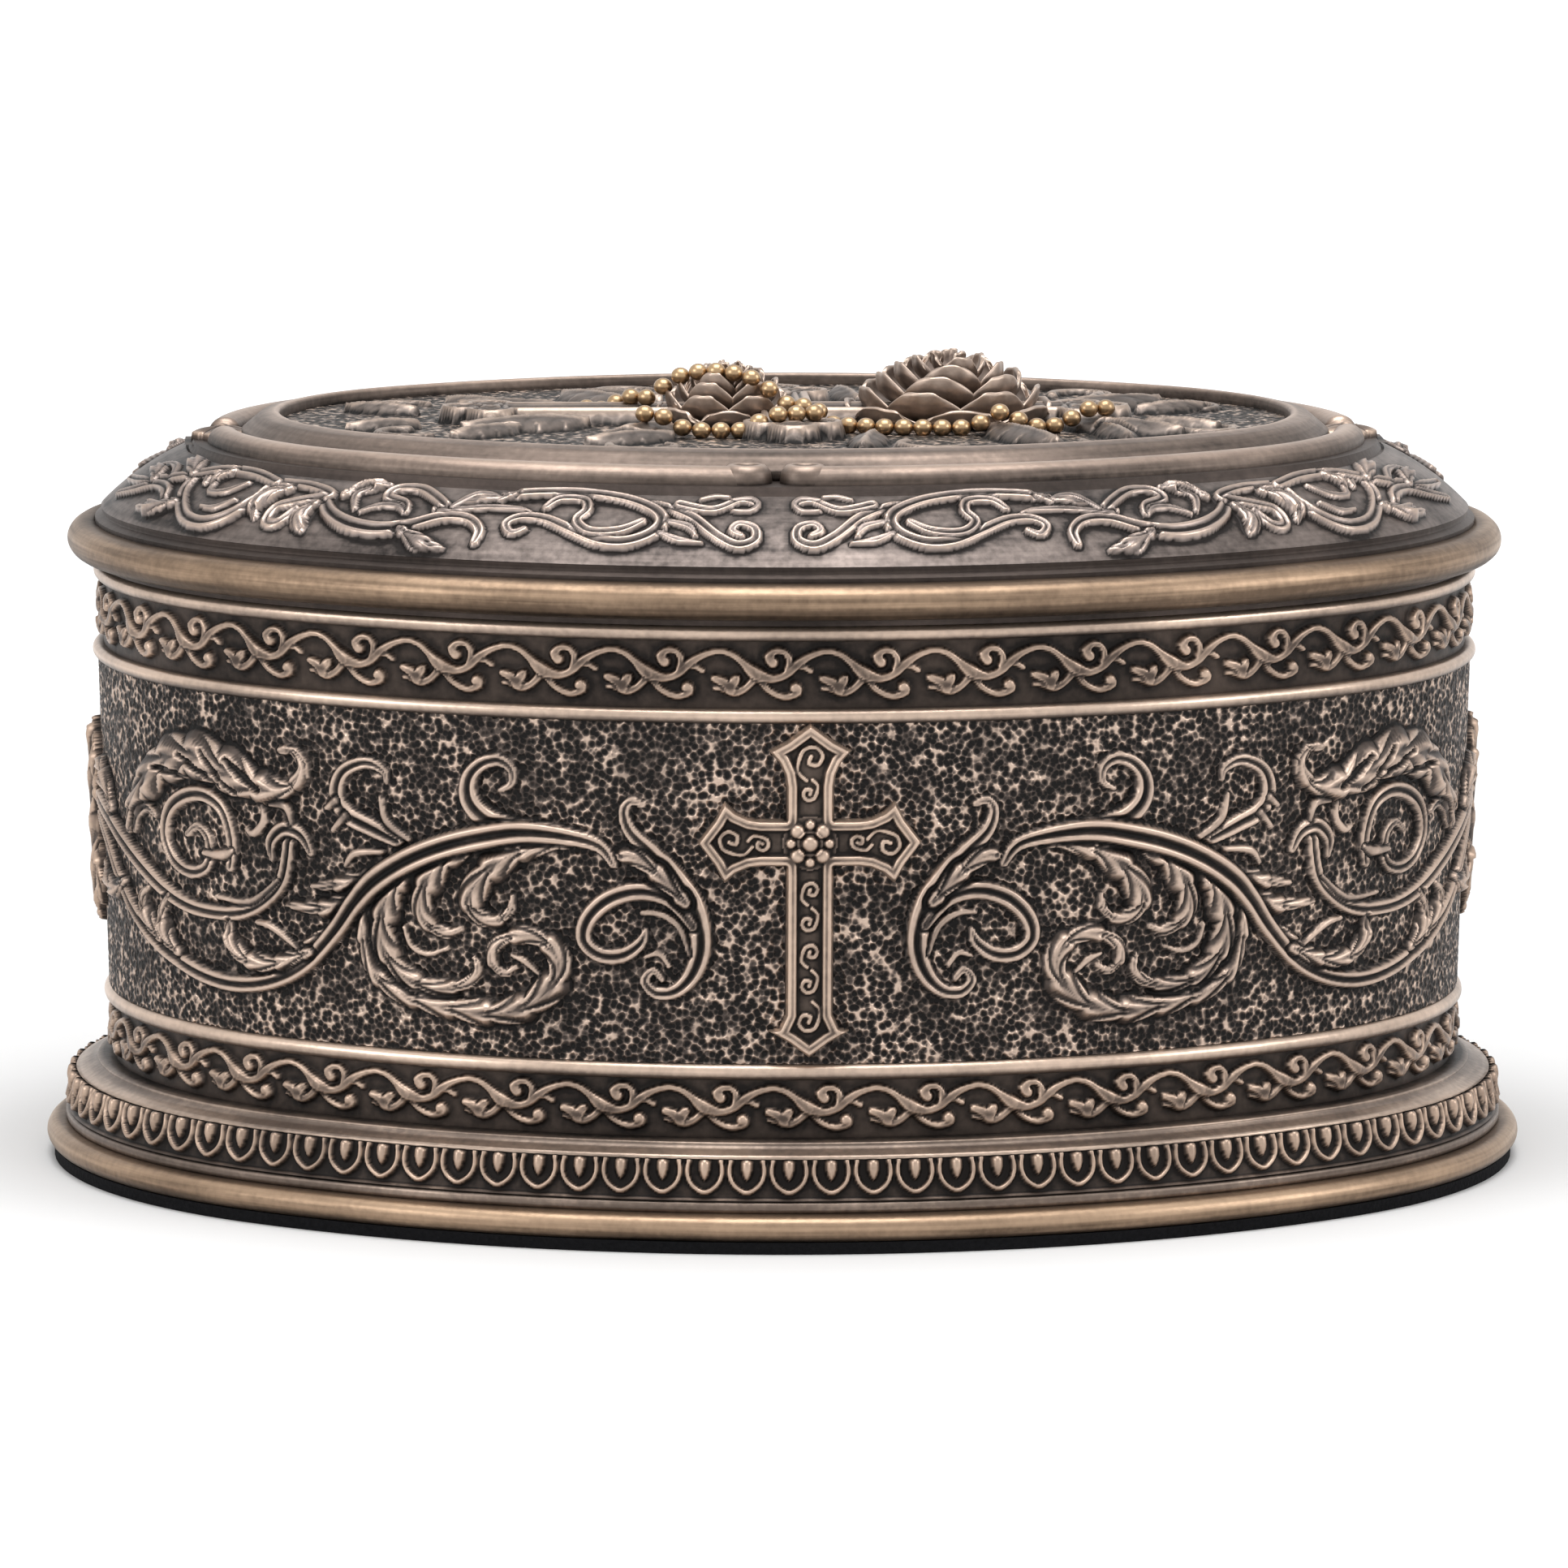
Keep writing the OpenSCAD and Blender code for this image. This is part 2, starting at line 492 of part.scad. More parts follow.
// Outline of the wall's cross; inset draws the same outline that much smaller
function cross_outline(inset) =
    let (h = cross_half - inset, f = cross_flare - inset, tip = inset * 1.2,
        arm = cross_reach - tip, up = cross_up - tip, down = cross_down - tip,
        shoulder = 2.3, taper = 3, foot_taper = 1.4)
    [
        [0, up], [f, up - shoulder], [h, up - shoulder - taper], [h, h], [arm - shoulder - taper, h],
        [arm - shoulder, f], [arm, 0], [arm - shoulder, -f], [arm - shoulder - taper, -h],
        [h, -h], [h, foot_taper + shoulder - down], [f, shoulder - down], [0, -down],
        [-f, shoulder - down], [-h, foot_taper + shoulder - down], [-h, -h],
        [taper + shoulder - arm, -h], [shoulder - arm, -f], [-arm, 0], [shoulder - arm, f],
        [taper + shoulder - arm, h], [-h, h], [-h, up - shoulder - taper], [-f, up - shoulder]
    ];

// A skin of the wall of a given height, on the front only
module front_skin(out) {
    translate([0, long_centre]) sector(long_radius, [[-0.6, -0.8], [0.6, -0.8]],
        [[-wall_lean, field_bottom], [out - wall_lean, field_bottom], [out, field_top], [0, field_top]]);
}

module upright_plate(outline, depth) {
    translate([0, -semi_width + 4, cross_z]) rotate([90, 0, 0]) linear_extrude(depth) polygon(outline);
}

module wall_cross() {
    deep = 12;
    color(pale_bronze) difference() {
        intersection() {
            front_skin(cross_thick + cross_lip);
            upright_plate(cross_outline(0), deep);
        }
        difference() {
            upright_plate(cross_outline(cross_edge), deep);
            front_skin(cross_thick);
        }
    }
}

module wall_rosette() {
    hub = 0.95;
    petal = 0.7;
    petal_out = 1.35;
    face = wall_offset(cross_z) + cross_thick;
    color(pale_bronze) stand_on_oval(0, face, cross_z) rotate([90, 0, 0]) {
        sphere(hub);
        for (a = [0 : 45 : 315]) rotate(a) translate([petal_out, 0, 0]) sphere(petal, $fn = 32);
    }
}

module front_cross() { wall_cross(); }
module back_cross() { rotate(180) wall_cross(); }
module front_rosette() { wall_rosette(); }
module back_rosette() { rotate(180) wall_rosette(); }

module wall_scroll_panel(hand) {
    color(bronze) for (stroke = wall_scroll) wall_stroke(stroke, hand);
}

module scroll_front_right() { wall_scroll_panel(1); }
module scroll_front_left() { wall_scroll_panel(-1); }
module scroll_back_left() { rotate(180) wall_scroll_panel(1); }
module scroll_back_right() { rotate(180) wall_scroll_panel(-1); }

// Upright leaf at the end of the oval, where the scrolls of front and back meet
end_leaf = [
    [[0, 20.5, 0.6], [0, 23, 2.4], [0, 26.5, 2.8], [0, 30, 3.4], [0, 33, 3], [0, 35.6, 2.2], [0, 37.6, 1]],
    [[0, 29, 1.4], [1.9, 31.4, 1.6], [2.8, 34, 1.5], [2.2, 36.2, 1.2], [1.4, 36.4, 0.6]],
    [[0, 29, 1.4], [-1.9, 31.4, 1.6], [-2.8, 34, 1.5], [-2.2, 36.2, 1.2], [-1.4, 36.4, 0.6]],
    [[0, 28, 1.2], [2, 26.2, 1.6], [3.2, 23.8, 1.2], [3, 22.2, 0.6]],
    [[0, 28, 1.2], [-2, 26.2, 1.6], [-3.2, 23.8, 1.2], [-3, 22.2, 0.6]]
];
function along(points, run) = [for (p = points) [p[0] + run, p[1], p[2]]];

module end_palmette() {
    color(bronze) for (stroke = end_leaf) wall_stroke(along(stroke, end_axis_run), 1);
}

module end_palmette_right() { end_palmette(); }
module end_palmette_left() { rotate(180) end_palmette(); }

// The slope's outline, a shallow arc in eight straight steps
slope_steps = 8;
slope_outline = [for (i = [0 : slope_steps]) slope_line(i / slope_steps, 0)];

module lid_shell() {
    underside = plate_bottom - lid_thick;
    hollow_edge = slope_in - lid_thick;
    fillet = 0.35;
    neck_in = slope_out - 0.05;
    neck_foot = 0.8;
    color(dark_bronze)
        oval_solid(concat(
            [[lip_out, mouth_z - lip_depth], [lip_out, mouth_z], [0, mouth_z], [0, rim_top],
                [fillet, rim_top], [fillet, rim_top + fillet], [neck_in, rim_top + 2 * fillet],
                [neck_in, slope_bottom - fillet]],
            slope_outline,
            [[to_axis, plate_bottom], [to_axis, underside], [hollow_edge, underside],
                [lip_in, mouth_z + neck_foot], [lip_in, mouth_z - lip_depth]]));
}

module lid_rim() {
    color(gold) oval_ring(arc_points(rim_in, rim_z, rim_round, -90, 90), 0);
}

module lid_plate() {
    step = plate_thick / 2;
    color(bronze)
        oval_solid([[to_axis, plate_bottom], [mix(slope_in, plate_edge, 1 / 3), plate_bottom],
            [mix(slope_in, plate_edge, 2 / 3), plate_bottom + step], [plate_edge, plate_top], [to_axis, plate_top]]);
}

module slope_scroll_panel(hand) {
    color(bronze) for (stroke = slope_scroll) slope_stroke(stroke, hand);
}

module lid_scroll_right() { slope_scroll_panel(1); }
module lid_scroll_left() { slope_scroll_panel(-1); }
module lid_scroll_back_left() { rotate(180) slope_scroll_panel(1); }
module lid_scroll_back_right() { rotate(180) slope_scroll_panel(-1); }

// A round knob whose edge is as round as the moulding, with an eye sunk in it
module curl(edge) {
    floor_height = 0.4;
    difference() {
        rotate_extrude($fn = 64)
            polygon(concat([[0, 0]], arc_points(frame_curl - edge, 0, edge, 0, 90), [[0, edge]]));
        translate([0, 0, floor_height]) cylinder(r = frame_eye, h = 2 * edge, $fn = 32);
    }
}

// Frame moulding: a half-round strip from the gap at the front to the flower at the end
module frame_strip(shift) {
    proud = 0.12;
    curl_run = frame_gap + frame_curl + shift;
    turn = run_turn(abs(curl_run)) * side(curl_run);
    tail = asin((flower_round + 1.2) / (end_radius + frame_middle));
    profile = arc_points(frame_middle, plate_top, frame_round, 0, 180);
    color(bronze) {
        translate([0, long_centre]) sector(long_radius, [[sin(turn), -cos(turn)], [0.6, -0.8]], profile);
        translate([end_centre, 0]) sector(end_radius, [[0.6, -0.8], [cos(tail), -sin(tail)]], profile);
        translate(oval_point(curl_run, frame_middle + frame_round + proud - frame_curl, plate_top))
            curl(frame_round + proud);
    }
}

module frame_front_right() { frame_strip(lid_shift); }
module frame_front_left() { mirror([1, 0, 0]) frame_strip(-lid_shift); }
module frame_back_left() { rotate(180) frame_strip(lid_shift); }
module frame_back_right() { rotate(180) mirror([1, 0, 0]) frame_strip(-lid_shift); }

// Small flower between the two frame mouldings at an end
module end_flower() {
    petals = 5;
    petal = 1;
    block = 3 * flower_round;
    color(pale_bronze) translate([semi_length + frame_middle, 0, plate_top]) intersection() {
        union() {
            sphere(1.1 * petal, $fn = 32);
            for (i = [0 : petals - 1]) rotate(i * 360 / petals)
                translate([flower_round - petal, 0, 0]) sphere(petal, $fn = 32);
        }
        translate([-block / 2, -block / 2, 0]) cube(block);
    }
}

module end_flower_right() { end_flower(); }
module end_flower_left() { rotate(180) end_flower(); }

module recess_rim_ring() {
    edge = 0.5;
    color(bronze) oval_solid(
        [[recess_rim_out, plate_top], [recess_rim_out, plate_top + 0.4 * rim_height],
            [mix(recess_rim_out, recess_edge, 0.5), rim_crest - edge / 2], [recess_edge + edge, rim_crest],
            [recess_edge, rim_crest - edge / 2], [recess_edge, plate_top]]);
}

module recess_ground() {
    color(dark_bronze)
        oval_solid([[to_axis, plate_top], [recess_edge, plate_top], [recess_edge, ground_top],
            [to_axis, ground_top]]);
}

// Budded cross lying on the pebbled ground, its long bar along the oval
long_bar = 2 * (lid_cross_reach - 2 * bud_round);
short_bar = 2 * (lid_cross_span - 2 * bud_round);

module bud_end() {
    for (a = [0, 90, -90]) rotate(a) translate([bud_round * 0.95, 0, 0]) circle(bud_round, $fn = 48);
}

// Blooms: place along the lid, radius and height; each is seated in a round gap in the cross
blooms = [[bloom_x, bloom_round, bloom_height], [small_bloom_x, small_bloom_round, small_bloom_height]];
seat_share = 0.9;

module lid_cross() {
    color(bronze) translate([0, 0, ground_top]) linear_extrude(lid_cross_thick) difference() {
        union() {
            square([long_bar, 2 * lid_cross_half], center = true);
            square([2 * lid_cross_half, short_bar], center = true);
            for (s = [0, 180]) {
                rotate(s) translate([long_bar / 2, 0]) bud_end();
                rotate(s + 90) translate([short_bar / 2, 0]) bud_end();
            }
        }
        for (b = blooms) translate([b[0], 0]) circle(seat_share * b[1]);
    }
}

// A petal is a shallow cap; a bloom is three rings of them about a bud
module cap(r, h) {
    ball = (r * r + h * h) / (2 * h);
    intersection() {
        translate([0, 0, h - ball]) sphere(ball, $fn = 96);
        translate([-r, -r, 0]) cube([2 * r, 2 * r, h + 1]);
    }
}

// Caps of a bloom: centre, foot, radius and height
function petal_ring(count, start, out, foot, r, h) =
    [for (i = [0 : count - 1]) let (a = start + i * 360 / count) [out * cos(a), out * sin(a), foot, r, h]];
function bloom_caps(r, h) = concat(
    [[0, 0, 0, 0.72 * r, 0.62 * h]], petal_ring(6, 0, 0.52 * r, 0, 0.48 * r, 0.55 * h),
    petal_ring(5, 20, 0.27 * r, 0.4 * h, 0.34 * r, 0.42 * h), [[0, 0, 0.55 * h, 0.3 * r, 0.45 * h]]);

module bloom(b) {
    color(pale_bronze) translate([b[0], 0, ground_top]) {
        cylinder(r = seat_share * b[1], h = lid_cross_thick);
        for (c = bloom_caps(b[1], b[2])) translate([c[0], c[1], lid_cross_thick + c[2]]) cap(c[3], c[4]);
    }
}

module large_bloom() { bloom(blooms[0]); }
module small_bloom() { bloom(blooms[1]); }

// Pointed leaves laid on the ground: place and way of each
leaf_places = [
    [-17, 4.5, 160], [-17, -4.5, 200], [-12, 7.5, 125], [-10, -8, 235],
    [23, 6, 30], [23, -6, -30], [17, 9.5, 65], [17, -9.5, -65]
];
// Smaller leaves behind, the same on both sides of the cross: place, way and length of each
side_leaves = [
    [-10, 14, 150, 9], [7, 13, 100, 9], [26.5, 8.5, 75, 8], [-23, 8.5, 140, 8], [30.5, 5, 25, 7], [-31.5, 5, 155, 7]
];
side_leaf_share = 0.36;
side_leaf_thick = 1;
// Curled tendrils, the same on both sides: middle, radius, first angle and turn of each
tendrils = [
    [-32.5, 10.5, 2.6, 40, 230], [-13, 21, 2.8, -40, 230], [11.5, 20, 2.8, 0, 220], [35.5, 8.6, 2.4, -60, 230],
    [26.8, 18.2, 2.6, -20, 200]
];
tendril_half = 0.5;

module leaf_outline(length, half) {
    bow = (length * length / 4 + half * half) / (2 * half);
    translate([length / 2, 0]) intersection() {
        translate([0, bow - half]) circle(bow, $fn = 120);
        translate([0, half - bow]) circle(bow, $fn = 120);
    }
}

module lid_leaf(length, half, thick, rib) {
    rib_start = 1;
    linear_extrude(thick) leaf_outline(length, half);
    translate([rib_start, 0, thick]) rotate([0, 90, 0])
        cylinder(r = rib, h = length - 3 * rib_start, $fn = 24);
}

module lid_leaves() {
    rib = 0.45;
    small_rib = 0.35;
    color(bronze) {
        for (p = leaf_places) translate([p[0], p[1], ground_top]) rotate(p[2])
            lid_leaf(leaf_length, leaf_half, leaf_thick, rib);
        for (mirrored = [0, 1]) mirror([0, mirrored, 0]) {
            for (p = side_leaves) translate([p[0], p[1], ground_top]) rotate(p[2])
                lid_leaf(p[3], side_leaf_share * p[3] / 2, side_leaf_thick, small_rib);
            for (p = tendrils) translate([p[0], p[1], ground_top]) rotate(p[3])
                rotate_extrude(angle = p[4], $fn = 64)
                    polygon(arc_points(p[2], 0, tendril_half, 0, 180));
        }
    }
}

// Two strings of gold beads laid over the relief: each bead rests on what is under it
strings = [
    [[-17, 5], [-11.5, 0.5], [-5, -2.6], [1, -5.6], [6, -9.6], [13, -11], [20.5, -10.2], [27, -7.6]],
    [[3.4, -10.6], [-1, -12.2], [-7, -12.8], [-13, -11.4]]
];
string_steps = 8;
string_sink = 0.15;
function dome_top(x, y, c) =
    let (ball = (c[3] * c[3] + c[4] * c[4]) / (2 * c[4]), d = norm([x - c[0], y - c[1]]))
    d < c[3] ? c[2] + c[4] - ball + sqrt(ball * ball - d * d) : 0;
function bloom_top(p, b) = max([for (c = bloom_caps(b[1], b[2])) dome_top(p[0] - b[0], p[1], c)]);
function on_bar(p) = min(abs(p[0]), abs(p[1])) < lid_cross_half + string_bead / 3;
function on_bloom(p, b) = norm([p[0] - b[0], p[1]]) < b[1];
function on_leaf(p, leaf) =
    let (x = p[0] - leaf[0], y = p[1] - leaf[1], c = cos(leaf[2]), s = sin(leaf[2]),
         share = (x * c + y * s) / leaf_length)
    share > 0 && share < 1 && abs(y * c - x * s) < 4 * leaf_half * share * (1 - share) + string_bead / 3;
function on_leaves(p) = len([for (leaf = leaf_places) if (on_leaf(p, leaf)) 1]) > 0;
function lie_height(p) =
    on_bloom(p, blooms[0]) ? lid_cross_thick + bloom_top(p, blooms[0]) :
    on_bloom(p, blooms[1]) ? lid_cross_thick + bloom_top(p, blooms[1]) :
    on_leaves(p) ? leaf_thick : on_bar(p) ? lid_cross_thick : 0;
function travelled(path) =
    [for (i = 0, s = 0; i < len(path); s = s + (i + 1 < len(path) ? norm(path[i + 1] - path[i]) : 0), i = i + 1) s];
function bead_places(points) =
    let (path = smooth_path(points, string_steps), way = travelled(path), last = len(way) - 1,
        xs = [for (i = [0 : last]) [way[i], path[i][0]]], ys = [for (i = [0 : last]) [way[i], path[i][1]]])
    [for (s = [0 : string_pitch : way[last]]) [lookup(s, xs), lookup(s, ys)]];

module bead_string() {
    color(gold) for (points = strings) for (p = bead_places(points))
        translate([p[0], p[1], ground_top + lie_height(p) + string_bead - string_sink])
            sphere(string_bead, $fn = 24);
}

felt_pad();
foot_moulding();
egg_and_dart();
box_shell();
lower_band();
lower_vine();
lower_bead_ring();
upper_bead_ring();
upper_band();
upper_vine();
mouth_moulding();
front_cross();
front_rosette();
back_cross();
back_rosette();
scroll_front_right();
scroll_front_left();
scroll_back_right();
scroll_back_left();
end_palmette_right();
end_palmette_left();
lid_shell();
lid_rim();
lid_plate();
lid_scroll_right();
lid_scroll_left();
lid_scroll_back_right();
lid_scroll_back_left();
frame_front_right();
frame_front_left();
frame_back_right();
frame_back_left();
end_flower_right();
end_flower_left();
recess_rim_ring();
recess_ground();
lid_cross();
large_bloom();
small_bloom();
lid_leaves();
bead_string();
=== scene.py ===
"""Looks of an oval cast keepsake box with a lift-off lid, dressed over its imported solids."""
import logging
import math
from collections.abc import Sequence
from dataclasses import dataclass, field
from enum import Enum
from functools import cached_property

import bpy
import mathutils
import numpy as np
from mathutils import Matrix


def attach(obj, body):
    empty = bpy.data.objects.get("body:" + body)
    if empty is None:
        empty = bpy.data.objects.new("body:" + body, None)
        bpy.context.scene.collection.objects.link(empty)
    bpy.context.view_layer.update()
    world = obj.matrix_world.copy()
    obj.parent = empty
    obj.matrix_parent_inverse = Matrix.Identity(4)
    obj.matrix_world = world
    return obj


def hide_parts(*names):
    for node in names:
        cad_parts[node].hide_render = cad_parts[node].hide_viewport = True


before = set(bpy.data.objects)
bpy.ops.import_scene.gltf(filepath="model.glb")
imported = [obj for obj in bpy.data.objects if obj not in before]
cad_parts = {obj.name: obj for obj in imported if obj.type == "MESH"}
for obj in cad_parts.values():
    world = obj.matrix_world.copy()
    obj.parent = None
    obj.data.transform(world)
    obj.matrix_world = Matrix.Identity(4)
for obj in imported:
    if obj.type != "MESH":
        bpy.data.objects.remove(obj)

LOG = logging.getLogger("keepsake_box")
MM = 0.001
Colour = tuple[float, float, float]
Place = tuple[float, float, float]
Knot = tuple[float, float, float]
Socket = bpy.types.NodeSocket


# The oval and the levels


@dataclass(frozen=True)
class Oval:
    """The wall's own oval, four arcs set out on triangles of 3, 4 and 5, in millimetres."""

    length: float = 118.0
    width: float = 90.0

    @property
    def gap(self) -> float:
        """Half the difference between length and width."""
        return (self.length - self.width) / 2

    @property
    def end_centre(self) -> float:
        """Distance of the end arcs' centres from the middle."""
        return 1.5 * self.gap

    @property
    def long_centre(self) -> float:
        """Distance of the long arcs' centres from the middle."""
        return 2 * self.gap

    @property
    def end_radius(self) -> float:
        """Radius of an end arc."""
        return self.length / 2 - self.end_centre

    @property
    def long_radius(self) -> float:
        """Radius of a long arc."""
        return self.width / 2 + self.long_centre

    @property
    def long_run(self) -> float:
        """Run from the middle of the front to the first join."""
        return self.long_radius * (math.pi / 2 - math.atan2(4, 3))

    @property
    def end_run(self) -> float:
        """Run of one end arc."""
        return self.end_radius * 2 * math.atan2(4, 3)

    @property
    def half_run(self) -> float:
        """Run from the middle of the front to the middle of the back."""
        return 2 * self.long_run + self.end_run

    def spot(self, run: np.ndarray, off: np.ndarray) -> tuple[np.ndarray, np.ndarray]:
        """Finds places on the oval.

        Args:
            run: Runs from the middle of the front, to the right.
            off: Offsets outwards from the oval.

        Returns:
            The x and y of each place.
        """
        turned = (run + self.half_run) % (2 * self.half_run) - self.half_run
        side, far = np.where(turned < 0, -1.0, 1.0), np.abs(turned)
        front, end = far < self.long_run, (far >= self.long_run) & (far < self.long_run + self.end_run)
        lean = math.pi / 2 - math.atan2(4, 3)
        turn = np.where(front, far / self.long_radius, np.where(
            end, lean + (far - self.long_run) / self.end_radius,
            math.pi - lean + (far - self.long_run - self.end_run) / self.long_radius))
        radius = np.where(end, self.end_radius, self.long_radius) + off
        across = np.where(end, self.end_centre, 0.0)
        back = np.where(end, 0.0, np.where(front, self.long_centre, -self.long_centre))
        return side * (across + radius * np.sin(turn)), back - radius * np.cos(turn)


OVAL = Oval()


@dataclass(frozen=True)
class Levels:
    """Heights and offsets that the solids are built to, in millimetres."""

    felt_top: float = 1.0
    foot_round: float = 1.1
    foot_spread: float = 4.8
    egg_low: float = 4.2
    egg_high: float = 7.5
    egg_out: float = 2.8
    egg_in: float = 2.05
    fascia_top: float = 8.8
    lower_band_top: float = 13.65
    lower_face: float = -1.15
    field_low: float = 15.05
    field_high: float = 43.45
    lean: float = 0.75
    seat: float = -1.95
    upper_band_low: float = 44.65
    upper_band_high: float = 50.2
    upper_face: float = -0.4
    rim_z: float = 53.6
    rim_round: float = 1.5
    rim_in: float = 1.2
    slope_low: float = 56.3
    slope_out: float = -0.2
    slope_rise: float = 4.95
    slope_run: float = 7.3
    plate_top: float = 62.0
    frame_middle: float = -10.6
    frame_round: float = 1.45
    recess_out: float = -12.25
    recess_edge: float = -15.55
    rim_crest: float = 64.4
    ground: float = 63.3
    lid_shift: float = -2.8

    def wall(self, z: np.ndarray) -> np.ndarray:
        """Offset of the leaning wall's face at each height."""
        return -self.lean * (self.field_high - z) / (self.field_high - self.field_low)

    def slope(self, tenths: np.ndarray, lift: np.ndarray) -> tuple[np.ndarray, np.ndarray]:
        """Finds offset and height on the lid's swelling slope.

        Args:
            tenths: Tenths of the way up the slope.
            lift: Height above the slope's surface.

        Returns:
            The offset and the height of each place.
        """
        share, length = tenths / 10, math.hypot(self.slope_run, self.slope_rise)
        rise = 1.8 * share * (1 - share) + lift
        return (self.slope_out - self.slope_run * share + rise * self.slope_rise / length,
                self.slope_low + self.slope_rise * share + rise * self.slope_run / length)


AT = Levels()


# The finishes


class Finish(Enum):
    """The slots that the finishes belong to."""

    BRONZE = "bronze"
    DARK = "dark_bronze"
    PALE = "pale_bronze"
    GOLD = "gold_bronze"
    FELT = "felt"


@dataclass
class Wiring:
    """The nodes of one material or world, with short ways to add to them."""

    tree: bpy.types.NodeTree

    @cached_property
    def place(self) -> Socket:
        """Object coordinates."""
        return self.add("ShaderNodeTexCoord", {}).outputs["Object"]

    def feed(self, node: bpy.types.Node, inputs: dict[str | int, Socket | float | tuple[float, ...]]) -> None:
        """Links or sets inputs of a node.

        Args:
            node: The node.
            inputs: What each input gets, a socket or a value.
        """
        for key, value in inputs.items():
            if isinstance(value, Socket):
                self.tree.links.new(value, node.inputs[key])
            else:
                node.inputs[key].default_value = value

    def add(self, kind: str, inputs: dict[str | int, Socket | float | tuple[float, ...]]) -> bpy.types.Node:
        """Adds a node.

        Args:
            kind: Its type.
            inputs: What each input gets, a socket or a value.

        Returns:
            The node.
        """
        node = self.tree.nodes.new(kind)
        self.feed(node, inputs)
        return node

    def math(self, way: str, *values: Socket | float) -> Socket:
        """Adds a sum.

        Args:
            way: The operation.
            *values: A socket or a number for each input.

        Returns:
            Its result.
        """
        node = self.add("ShaderNodeMath", dict(enumerate(values)))
        node.operation = way
        return node.outputs[0]

    def noise(self, scale: float, detail: float, place: Socket | None = None) -> Socket:
        """Adds a noise texture.

        Args:
            scale: Cells to a metre.
            detail: Octaves.
            place: Its coordinates, Object coordinates if none are given.

        Returns:
            Its level.
        """
        return self.add("ShaderNodeTexNoise", {
            "Scale": scale, "Detail": detail, "Vector": place or self.place}).outputs["Fac"]

    def attribute(self, name: str) -> Socket:
        """Reads an attribute of the mesh."""
        node = self.add("ShaderNodeAttribute", {})
        node.attribute_name = name
        return node.outputs["Fac"]

    def spread(self, value: Socket, ends: tuple[float, float, float, float], way: str = "LINEAR") -> Socket:
        """Spreads a value from one range to another.

        Args:
            value: The value.
            ends: Both ends of the first range, then of the second.
            way: The interpolation.

        Returns:
            The spread value.
        """
        names = ("From Min", "From Max", "To Min", "To Max")
        node = self.add("ShaderNodeMapRange", {"Value": value, **dict(zip(names, ends))})
        node.interpolation_type = way
        return node.outputs["Result"]

    def ramp(self, value: Socket, *stops: tuple[float, Colour]) -> Socket:
        """Colours a value.

        Args:
            value: The value.
            *stops: Position and colour of each stop, in rising order.

        Returns:
            The colour.
        """
        node = self.add("ShaderNodeValToRGB", {"Fac": value})
        elements = node.color_ramp.elements
        elements[0].position, elements[1].position = stops[0][0], stops[-1][0]
        for position, _ in stops[1:-1]:
            elements.new(position)
        for element, (_, colour) in zip(elements, stops):
            element.color = (*colour, 1)
        return node.outputs["Color"]

    def bump(self, height: Socket, strength: float, depth: float) -> Socket:
        """Makes a surface finely uneven.

        Args:
            height: Its height.
            strength: How strongly it is seen.
            depth: Its depth in millimetres.

        Returns:
            The surface's normal.
        """
        inputs = {"Strength": strength, "Distance": depth * MM, "Height": height}
        return self.add("ShaderNodeBump", inputs).outputs["Normal"]

    def straight_rays(self) -> Socket:
        """Gives 1 for rays from the camera, off gloss or through glass."""
        rays = self.add("ShaderNodeLightPath", {}).outputs
        first = self.math("MAXIMUM", rays["Is Camera Ray"], rays["Is Glossy Ray"])
        return self.math("MAXIMUM", first, rays["Is Transmission Ray"])


def new_material(name: str) -> tuple[bpy.types.Material, Wiring, bpy.types.Node]:
    """Makes a node material.

    Args:
        name: Its name.

    Returns:
        The material, its wiring and its shader.
    """
    mat = bpy.data.materials.new(name)
    mat.use_nodes = True
    return mat, Wiring(mat.node_tree), mat.node_tree.nodes["Principled BSDF"]


